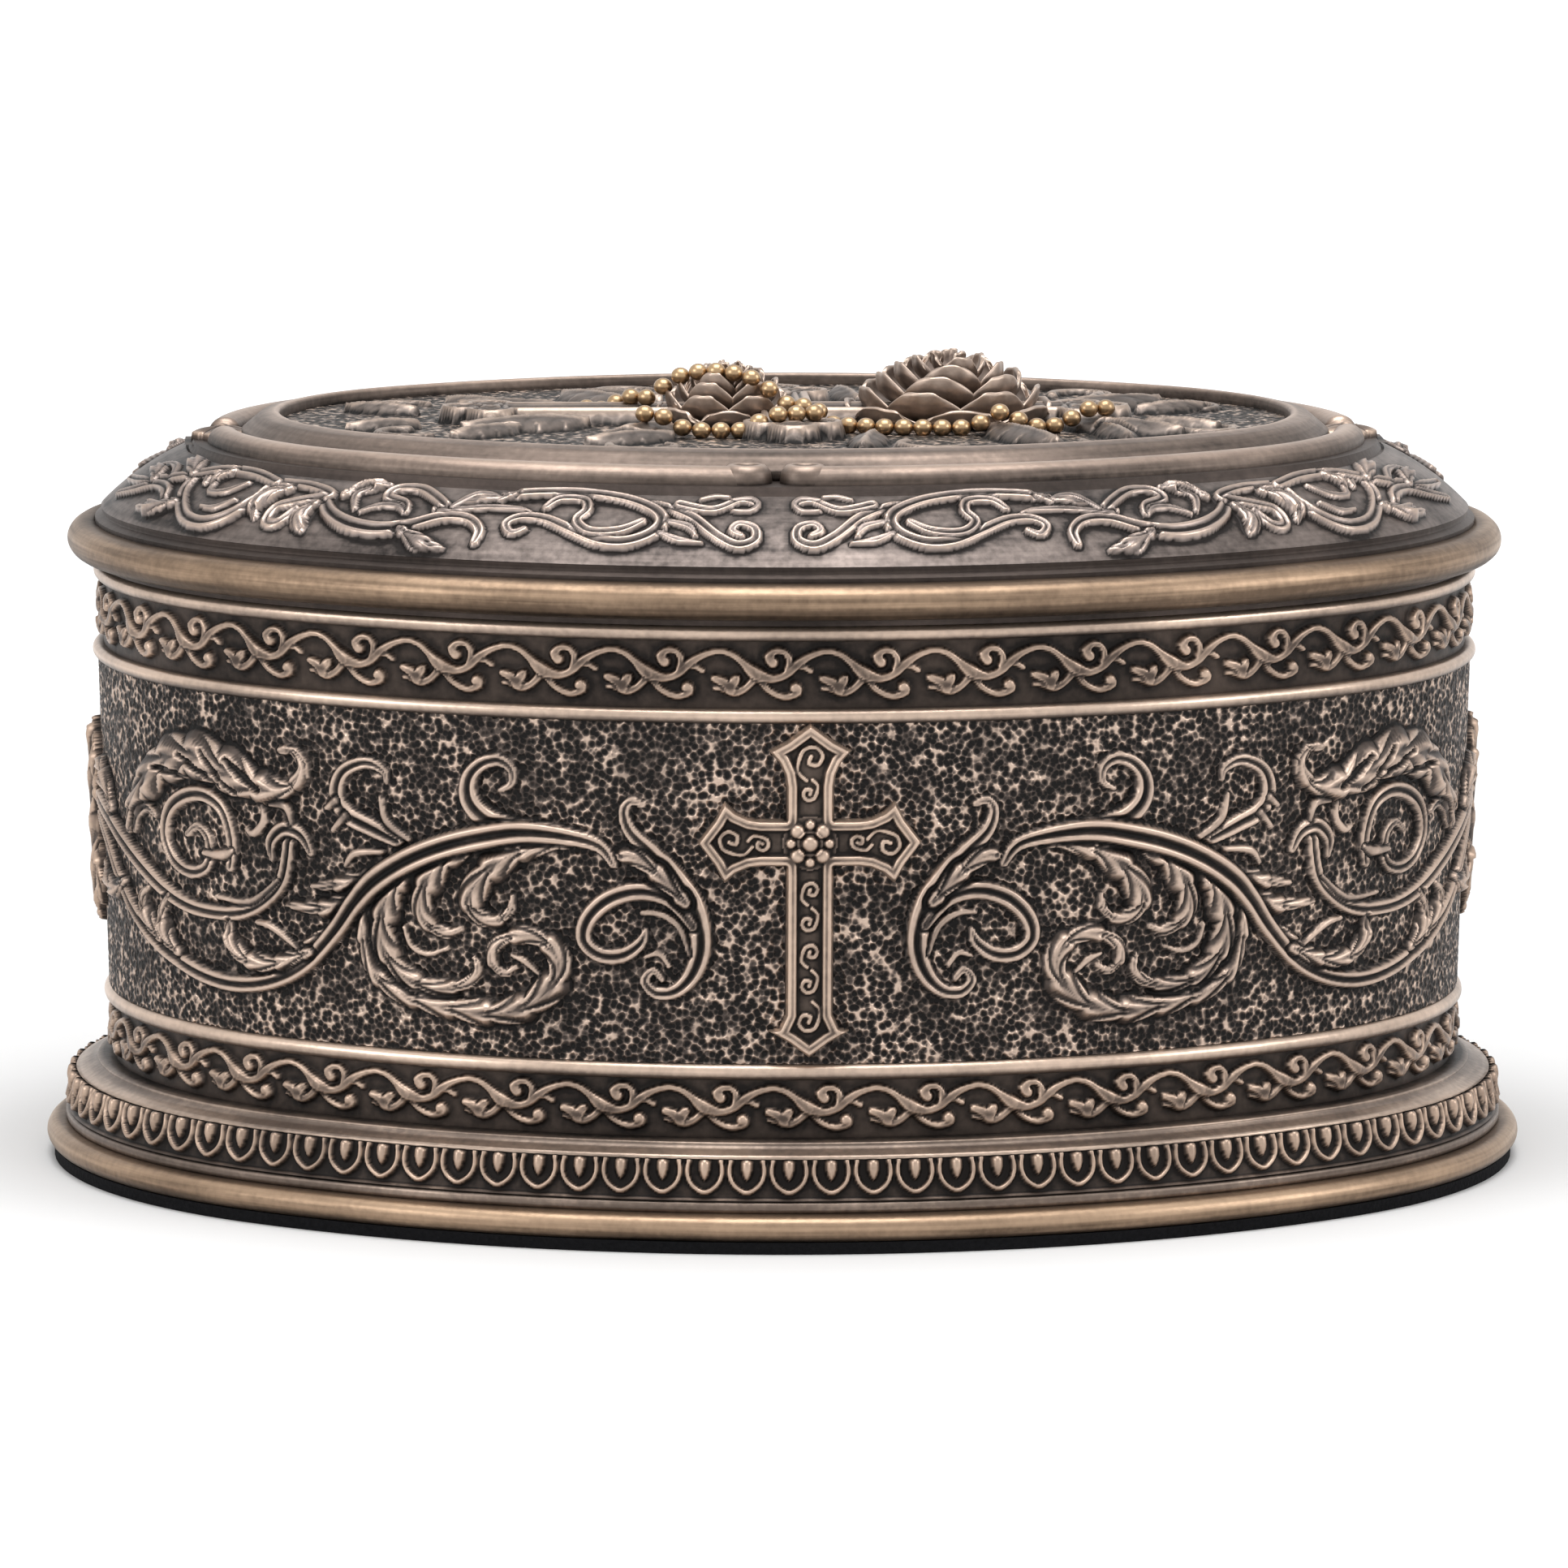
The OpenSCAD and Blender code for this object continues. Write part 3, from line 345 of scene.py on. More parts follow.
@dataclass(frozen=True)
class Patina:
    """Antiqued bronze: dark in the hollows, rubbed on the ridges, as the wear attribute says.

    Scales are in cells to a metre, and the size of a pit is in millimetres.
    """

    name: str
    slot: Finish
    hollow: Colour
    middle: Colour
    ridge: Colour
    rough: float = 0.42
    metal: float = 0.8
    wear: float | None = None
    grain: float = 0.25
    streak: float = 0.0
    pit: float = 0.0
    blotch: float = 0.5
    blotch_scale: float = 90.0
    grain_scale: float = 1500.0
    hollow_at: float = 0.12
    ridge_at: float = 0.92
    duller: float = 0.16
    glossier: float = 0.08

    def make(self) -> bpy.types.Material:
        """Builds the node material.

        Returns:
            The material, which reads Object coordinates and the wear attribute.
        """
        mat, wiring, shader = new_material(self.name)
        if self.wear is None:
            base = wiring.math("SUBTRACT", wiring.attribute("wear"), self.blotch / 2)
        else:
            base = self.wear - self.blotch / 2
        level = wiring.math("MULTIPLY_ADD", wiring.noise(self.blotch_scale, 4.0), self.blotch, base)
        centred = wiring.math("SUBTRACT", level, self.grain / 2)
        height = wiring.noise(self.grain_scale, 5.0)
        rubbed = wiring.math("MULTIPLY_ADD", height, self.grain, centred)
        if self.streak:
            rubbed = self.brushed(wiring, rubbed)
        if self.pit:
            rubbed, height = self.pitted(wiring, rubbed)
        colour = wiring.ramp(rubbed, (self.hollow_at, self.hollow), (0.5, self.middle),
                             (self.ridge_at, self.ridge))
        gloss = wiring.spread(rubbed, (0.0, 1.0, self.rough + self.duller, self.rough - self.glossier))
        normal = wiring.bump(height, *((0.8, 0.25) if self.pit else (0.22, 0.12)))
        wiring.feed(shader, {
            "Metallic": self.metal, "Base Color": colour, "Roughness": gloss, "Normal": normal})
        return mat

    def brushed(self, wiring: Wiring, rubbed: Socket) -> Socket:
        """Adds long level streaks, as on a cast moulding that was polished along its length.

        Args:
            wiring: The material's wiring.
            rubbed: The rubbing so far.

        Returns:
            The rubbing with its streaks.
        """
        stretched = wiring.add("ShaderNodeMapping", {"Vector": wiring.place, "Scale": (45.0, 45.0, 1900.0)})
        lines = wiring.noise(1.0, 4.0, stretched.outputs["Vector"])
        return wiring.math("MULTIPLY_ADD", wiring.math("SUBTRACT", lines, 0.5), self.streak, rubbed)

    def pitted(self, wiring: Wiring, rubbed: Socket) -> tuple[Socket, Socket]:
        """Sinks small dark pits into the ground, with rubbed walls between them.

        Args:
            wiring: The material's wiring.
            rubbed: The rubbing so far.

        Returns:
            The rubbing with its pits, and the height of the surface.
        """
        cells = wiring.add("ShaderNodeTexVoronoi", {"Scale": 1000.0 / self.pit, "Vector": wiring.place})
        ground = wiring.attribute("ground")
        wall = wiring.spread(cells.outputs["Distance"], (0.3, 0.95, 0.0, 1.0), "SMOOTHSTEP")
        bright = wiring.spread(wiring.noise(330.0, 3.0), (0.36, 0.66, 0.6, 1.1))
        pits = wiring.math("MULTIPLY_ADD", rubbed, 0.3, wiring.math("MULTIPLY", wall, bright))
        mixed = wiring.add("ShaderNodeMix", {"Factor": ground, "A": rubbed, "B": pits})
        return mixed.outputs[0], wiring.math("MULTIPLY", wall, ground)


@dataclass(frozen=True)
class Felt:
    """Matted black felt."""

    name: str = "black_felt"
    slot: Finish = Finish.FELT
    dark: Colour = (0.004, 0.004, 0.0045)
    light: Colour = (0.0144, 0.0144, 0.0162)

    def make(self) -> bpy.types.Material:
        """Builds the node material.

        Returns:
            The material, which reads Object coordinates.
        """
        mat, wiring, shader = new_material(self.name)
        hairs = wiring.noise(2600.0, 3.0)
        wiring.feed(shader, {
            "Roughness": 0.95, "Specular IOR Level": 0.1, "Normal": wiring.bump(hairs, 0.5, 0.3),
            "Base Color": wiring.ramp(hairs, (0.0, self.dark), (1.0, self.light))})
        return mat


BRONZE = Patina("antique_bronze", Finish.BRONZE,
                (0.012, 0.0095, 0.0085), (0.085, 0.062, 0.05), (0.51, 0.375, 0.288))
PALE = Patina("rubbed_bronze", Finish.PALE,
              (0.014, 0.011, 0.0095), (0.13, 0.097, 0.079), (0.6, 0.45, 0.35))
PETAL = Patina("petal_bronze", Finish.PALE,
               (0.022, 0.0175, 0.015), (0.2, 0.155, 0.132), (0.56, 0.435, 0.35), rough=0.38)
WALL = Patina("pitted_wall", Finish.BRONZE,
              (0.0095, 0.0083, 0.0079), (0.1, 0.078, 0.067), (0.56, 0.425, 0.34), pit=0.52)
GROUND = Patina("pitted_ground", Finish.DARK,
                (0.012, 0.0108, 0.0103), (0.14, 0.114, 0.1), (0.53, 0.41, 0.33), pit=0.75)
GOLD = Patina("gold_bronze", Finish.GOLD,
              (0.019, 0.013, 0.009), (0.14, 0.095, 0.064), (0.43, 0.3, 0.2), metal=0.9, streak=0.75)
BEADS = Patina("gold_beads", Finish.GOLD,
               (0.03, 0.019, 0.011), (0.24, 0.155, 0.085), (0.58, 0.4, 0.23), rough=0.32, metal=0.9)
MOULDED = Patina("moulded_bronze", Finish.BRONZE,
                 (0.014, 0.011, 0.0095), (0.185, 0.142, 0.116), (0.68, 0.52, 0.41), rough=0.36, streak=0.4)
FRAME = Patina("frame_bronze", Finish.BRONZE,
               (0.014, 0.011, 0.0095), (0.165, 0.126, 0.104), (0.47, 0.355, 0.285), streak=0.55)
# A lighter copy of the bronze for the lid's upward-facing slope: painted sheen, the light that such a face
# catches.
SLOPE = Patina("slope_painted_sheen", Finish.BRONZE,
               (0.015, 0.012, 0.011), (0.26, 0.212, 0.19), (0.56, 0.43, 0.35), rough=0.34, streak=0.3)
CAST = Patina("cast_bronze", Finish.DARK,
              (0.013, 0.0105, 0.0095), (0.075, 0.057, 0.049), (0.3, 0.23, 0.19), wear=0.36, streak=0.3)


# Relief


class Cut(Enum):
    """Ways that a stroke of relief is cut."""

    STEM = "stem"
    LEAF = "leaf"
    LINE = "line"
    FLAT = "flat"


@dataclass(frozen=True)
class Stroke:
    """One stroke of relief: a path of place along, place up and width."""

    path: tuple[Knot, ...]
    cut: Cut = Cut.STEM
    lift: float = 1.0

    def smooth(self, spacing: float = 0.35) -> np.ndarray:
        """Carries a smooth curve through the knots.

        Args:
            spacing: Largest distance between two points, in millimetres.

        Returns:
            An array of points with their widths.
        """
        knots = np.array(self.path, float)
        ends = np.vstack([knots[:1], knots, knots[-1:]])
        out = []
        for i in range(len(knots) - 1):
            a, b, c, d = ends[i:i + 4]
            steps = max(2, int(np.hypot(*(c - b)[:2]) / spacing) + 1)
            t = (np.arange(steps) / steps)[:, None]
            out.append(0.5 * (2 * b + (c - a) * t + (2 * a - 5 * b + 4 * c - d) * t ** 2
                              + (3 * b - a - 3 * c + d) * t ** 3))
        return np.vstack([*out, knots[-1:]])


def strokes(cut: Cut, lift: float, *paths: Sequence[Knot]) -> list[Stroke]:
    """Makes strokes of one cut and lift.

    Args:
        cut: How they are cut.
        lift: Their height against the usual one.
        *paths: The knots of each.

    Returns:
        The strokes.
    """
    return [Stroke(tuple(p), cut, lift) for p in paths]


def mirrored(*paths: Sequence[Knot]) -> list[list[Knot]]:
    """Gives each path and, after it, its mirror image across the upright."""
    return [[(side * u, v, w) for u, v, w in path] for path in paths for side in (1, -1)]


class Relief:
    """A field of heights on a regular grid, drawn stroke by stroke."""

    def __init__(self, left: float, right: float, low: float, high: float, step: float) -> None:
        """Lays out the grid.

        Args:
            left: Least place along.
            right: Greatest place along.
            low: Least place up.
            high: Greatest place up.
            step: Distance between two lines of the grid.
        """
        self.u = np.linspace(left, right, max(2, round((right - left) / step)) + 1)
        self.v = np.linspace(low, high, max(2, round((high - low) / step)) + 1)
        self.height = np.zeros((len(self.v), len(self.u)))
        self.drawn = np.zeros_like(self.height, bool)

    def window(self, low_u: float, high_u: float, low_v: float, high_v: float) -> tuple[slice, slice]:
        """Finds the part of the grid inside a box."""
        cols = np.searchsorted(self.u, [low_u, high_u])
        rows = np.searchsorted(self.v, [low_v, high_v])
        return slice(rows[0], rows[1]), slice(cols[0], cols[1])

    def draw(self, stroke: Stroke, tall: float = 0.85) -> None:
        """Cuts one stroke, which lies over what was drawn before it.

        Args:
            stroke: The stroke.
            tall: Height of a stroke one millimetre wide.
        """
        path = stroke.smooth()
        step = np.hypot(*np.diff(path[:, :2], axis=0).T)
        way = np.concatenate([[0], np.cumsum(step)])
        lobe = 2.4 + 0.45 * path[:, 2].max()
        if stroke.cut is Cut.LEAF:
            path[:, 2] *= 0.88 + 0.46 * ((way / lobe - 0.15) % 1.0)
        near = np.full_like(self.height, 9.0)
        along, side, wide = (np.zeros_like(self.height) for _ in range(3))
        reach = path[:, 2].max() * 0.8 + 0.4
        for i in range(len(path) - 1):
            a, b = path[i], path[i + 1]
            box = self.window(min(a[0], b[0]) - reach, max(a[0], b[0]) + reach,
                              min(a[1], b[1]) - reach, max(a[1], b[1]) + reach)
            u, v = self.u[box[1]][None, :] - a[0], self.v[box[0]][:, None] - a[1]
            du, dv = b[0] - a[0], b[1] - a[1]
            share = np.clip((u * du + v * dv) / max(du * du + dv * dv, 1e-9), 0, 1)
            off = np.hypot(u - share * du, v - share * dv)
            half = np.maximum((a[2] + share * (b[2] - a[2])) / 2, 0.08)
            ratio = off / half
            closer = ratio < near[box]
            near[box] = np.where(closer, ratio, near[box])
            along[box] = np.where(closer, way[i] + share * step[i], along[box])
            side[box] = np.where(closer, np.sign(u * dv - v * du), side[box])
            wide[box] = np.where(closer, 2 * half, wide[box])
        inside, edge = near < 1, (near >= 1) & (near < 1.45)
        crest = tall * stroke.lift * np.minimum(1.5, 0.4 + 0.5 * wide)
        dome = np.sqrt(np.clip(1 - near ** 2, 0, 1)) ** 0.8
        if stroke.cut is Cut.STEM:
            shape = dome * (1 - np.clip(wide - 0.4, 0, 0.65) * 0.95 * np.exp(-(near / 0.42) ** 2))
        elif stroke.cut is Cut.LEAF:
            strand = (along / lobe - 1.15 * near) % 1.0
            cut_off = np.clip((1 - strand) / 0.2, 0, 1)
            ribs = 0.4 * np.sin(math.pi * strand ** 1.6) ** 0.8 * cut_off * np.clip(near * 2.5, 0, 1)
            shape = dome * (0.62 + ribs + 0.2 * np.exp(-(near / 0.2) ** 2) + 0.12 * side * near)
        elif stroke.cut is Cut.FLAT:
            shape = np.clip((1 - near) / 0.4, 0, 1) ** 0.6
        else:
            shape = dome
        flat = stroke.cut is Cut.FLAT
        under = self.height * np.where(edge & (not flat), 0.35 + 0.65 * (near - 1) / 0.45, 1)
        keep = 1.0 if flat else 0.55
        self.height = np.where(inside, np.maximum(crest * shape, self.height * keep), under)
        self.drawn |= near < 1.15

    def pebbles(self, cell: float, tall: float, seed: int, stretch: float = 1.0) -> None:
        """Fills the ground between the strokes with small pebbles.

        Args:
            cell: Size of a pebble.
            tall: Height of a pebble.
            seed: Seed of their places.
            stretch: Length of a pebble against its height on the surface.
        """
        u, v = np.meshgrid(self.u / (cell * stretch), self.v / cell)
        col, row = np.floor(u).astype(int), np.floor(v).astype(int)
        rng = np.random.default_rng(seed)
        table = rng.random((257, 257, 2))
        first, second = np.full_like(u, 9.0), np.full_like(u, 9.0)
        for dc in (-1, 0, 1):
            for dr in (-1, 0, 1):
                jitter = table[(row + dr) % 257, (col + dc) % 257]
                gap = np.hypot(col + dc + jitter[..., 0] - u, row + dr + jitter[..., 1] - v)
                second = np.minimum(second, np.maximum(first, gap))
                first = np.minimum(first, gap)
        pebbled = tall * np.clip((second - first) * 2.2, 0, 1) ** 0.6
        self.height = np.where(self.drawn, self.height, pebbled)

    def wear(self, strong: float = 1.0, scale: float = 0.9) -> np.ndarray:
        """Works out how far each place is rubbed.

        Args:
            strong: Strength of the rubbing.
            scale: Reach of the comparison with what lies round it, in millimetres.

        Returns:
            Shares from 0 in a hollow to 1 on a ridge.
        """
        reach = max(1, round(scale / (self.u[1] - self.u[0])))
        round_about = blur(self.height, reach)
        close = blur(self.height, max(1, reach // 3))
        rise = np.clip(0.45 + (self.height - round_about) / 0.75 + (self.height - close) / 0.3, 0, 1)
        return np.clip(strong * (0.78 * rise ** 1.25 + 0.2 * np.clip(self.height / 1.3, 0, 1)), 0, 1)


def blur(values: np.ndarray, reach: int) -> np.ndarray:
    """Averages a field over a square.

    Args:
        values: The field.
        reach: Half the side of the square, in cells.

    Returns:
        The averaged field.
    """
    for axis in (0, 1):
        size = values.shape[axis]
        total = np.cumsum(np.insert(values, 0, 0, axis=axis), axis=axis)
        low, high = np.clip(np.arange(size) - reach, 0, size), np.clip(np.arange(size) + reach + 1, 0, size)
        count = (high - low).reshape((-1, 1) if axis == 0 else (1, -1))
        values = (np.take(total, high, axis=axis) - np.take(total, low, axis=axis)) / count
    return values


# Making pieces


@dataclass
class Dresser:
    """Makes the finishes' materials, gives pieces their finish and fixes them to a body."""

    made: dict[str, bpy.types.Material] = field(default_factory=dict)

    def material(self, finish: Patina | Felt) -> bpy.types.Material:
        """Returns the finish's material, made once."""
        if finish.name not in self.made:
            self.made[finish.name] = finish.make()
        return self.made[finish.name]

    def dress_node(self, node: str, finish: Patina | Felt) -> None:
        """Gives a carried-over solid its finish.

        Args:
            node: Name of the solid.
            finish: The finish.
        """
        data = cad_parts[node].data
        data.materials.clear()
        data.materials.append(self.material(finish))

    def hand_over(self, piece: bpy.types.Object, body: str, finish: Patina | Felt, *nodes: str) -> None:
        """Finishes a piece and lets it stand for solids.

        Args:
            piece: The piece.
            body: The body that it moves with.
            finish: Its finish.
            *nodes: The solids that it stands for.
        """
        piece.data.materials.clear()
        piece.data.materials.append(self.material(finish))
        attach(piece, body)
        if nodes:
            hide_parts(*nodes)
        LOG.info("%s: %d faces", piece.name, len(piece.data.polygons))


def sheet(name: str, points: np.ndarray, wear: np.ndarray | None = None, merge: bool = False,
          ground: np.ndarray | None = None) -> bpy.types.Object:
    """Makes a smooth sheet through a grid of points.

    Args:
        name: Name of the piece.
        points: Rows by columns by three, in millimetres; columns run to the right, rows upwards.
        wear: A share of rubbing for each point.
        merge: Whether edges that meet are joined.
        ground: A share of bare ground for each point.

    Returns:
        The piece.
    """
    rows, cols = points.shape[:2]
    bpy.ops.object.select_all(action="DESELECT")
    bpy.ops.mesh.primitive_grid_add(x_subdivisions=cols - 1, y_subdivisions=rows - 1, size=1)
    piece = bpy.context.object
    piece.name = piece.data.name = name
    piece.data.vertices.foreach_set("co", (points.reshape(-1, 3) * MM).astype(np.float32).ravel())
    for kind, values in (("wear", wear), ("ground", ground)):
        if values is not None:
            layer = piece.data.attributes.new(kind, "FLOAT", "POINT")
            layer.data.foreach_set("value", values.astype(np.float32).ravel())
    if merge:
        bpy.ops.object.mode_set(mode="EDIT")
        bpy.ops.mesh.select_all(action="SELECT")
        bpy.ops.mesh.remove_doubles(threshold=1e-6)
        bpy.ops.object.mode_set(mode="OBJECT")
    bpy.ops.object.shade_smooth()
    return piece


def turned(points: np.ndarray) -> np.ndarray:
    """Turns points half round the box, from front to back."""
    return points * np.array([-1.0, -1.0, 1.0])


def other_side(side: str) -> str:
    """Names the side on which a piece of one side lies when it is turned half round."""
    return "left" if side == "right" else "right"


def joined(parts: Sequence[bpy.types.Object], name: str) -> bpy.types.Object:
    """Joins pieces into the first of them.

    Args:
        parts: The pieces.
        name: Name of the whole.

    Returns:
        The whole.
    """
    bpy.ops.object.select_all(action="DESELECT")
    for part in parts:
        part.select_set(True)
    whole = parts[0]
    bpy.context.view_layer.objects.active = whole
    bpy.ops.object.join()
    whole.name = whole.data.name = name
    return whole


def all_round(off: np.ndarray, z: np.ndarray) -> np.ndarray:
    """Puts places round the whole oval, the last column on the first.

    Args:
        off: Offset of each place, rows by columns.
        z: Height of each place or of each row.

    Returns:
        The points.
    """
    run = np.linspace(-OVAL.half_run, OVAL.half_run, off.shape[1])
    x, y = OVAL.spot(run[None, :] + 0 * off, off)
    points = np.stack([x, y, z + 0 * x], axis=-1)
    points[:, -1] = points[:, 0]
    return points


def tiled(unit: np.ndarray, count: int) -> np.ndarray:
    """Repeats a unit of relief and closes it; the unit's last column is its first again."""
    return np.concatenate([np.tile(unit[:, :-1], (1, count)), unit[:, :1]], axis=1)


def ring(name: str, profile: np.ndarray, wear: np.ndarray, wave: float = 0.03,
         pitch: float = 0.9) -> bpy.types.Object:
    """Carries a closed profile round the oval.

    Args:
        name: Name of the piece.
        profile: Offset and height of each point, outwards face first going up; its last point is its first.
        wear: A share of rubbing for each point of the profile.
        wave: Unevenness of the casting.
        pitch: Distance between two sections.

    Returns:
        The piece.
    """
    count = round(2 * OVAL.half_run / pitch)
    run = np.linspace(-OVAL.half_run, OVAL.half_run, count + 1)
    phase = 2 * math.pi * run / (2 * OVAL.half_run)
    sway = wave * (np.sin(11 * phase + 1) + 0.6 * np.sin(27 * phase) + 0.4 * np.sin(61 * phase + 2)) / 2
    points = all_round(profile[:, 0][:, None] + sway[None, :], profile[:, 1][:, None])
    return sheet(name, points, np.repeat(wear[:, None], count + 1, axis=1), merge=True)


def closed_profile(points: Sequence[Knot], parts: int) -> tuple[np.ndarray, np.ndarray]:
    """Closes a profile and puts points between its corners.

    Args:
        points: Offset, height and wear of each corner, the outer face first going up.
        parts: Parts that each side is cut into.

    Returns:
        The profile and its wear.
    """
    corners = np.array([*points, points[0]], float)
    out = [corners[i] + (corners[i + 1] - corners[i]) * k / parts
           for i in range(len(corners) - 1) for k in range(parts)]
    full = np.array([*out, corners[0]])
    return full[:, :2], full[:, 2]


def half_round(off: float, z: float, r: float, parts: int) -> list[Knot]:
    """Lists points on the half round of a profile, most rubbed where it stands furthest out.

    Args:
        off: Offset of the centre.
        z: Height of the centre.
        r: Radius.
        parts: Number of parts.

    Returns:
        Offset, height and wear of each point.
    """
    angles = np.radians(np.linspace(-90, 90, parts + 1))
    return [(off + r * math.cos(a), z + r * math.sin(a), 0.3 + 0.55 * max(0.0, math.cos(a - 0.5)) ** 1.2)
            for a in angles]


# The wall

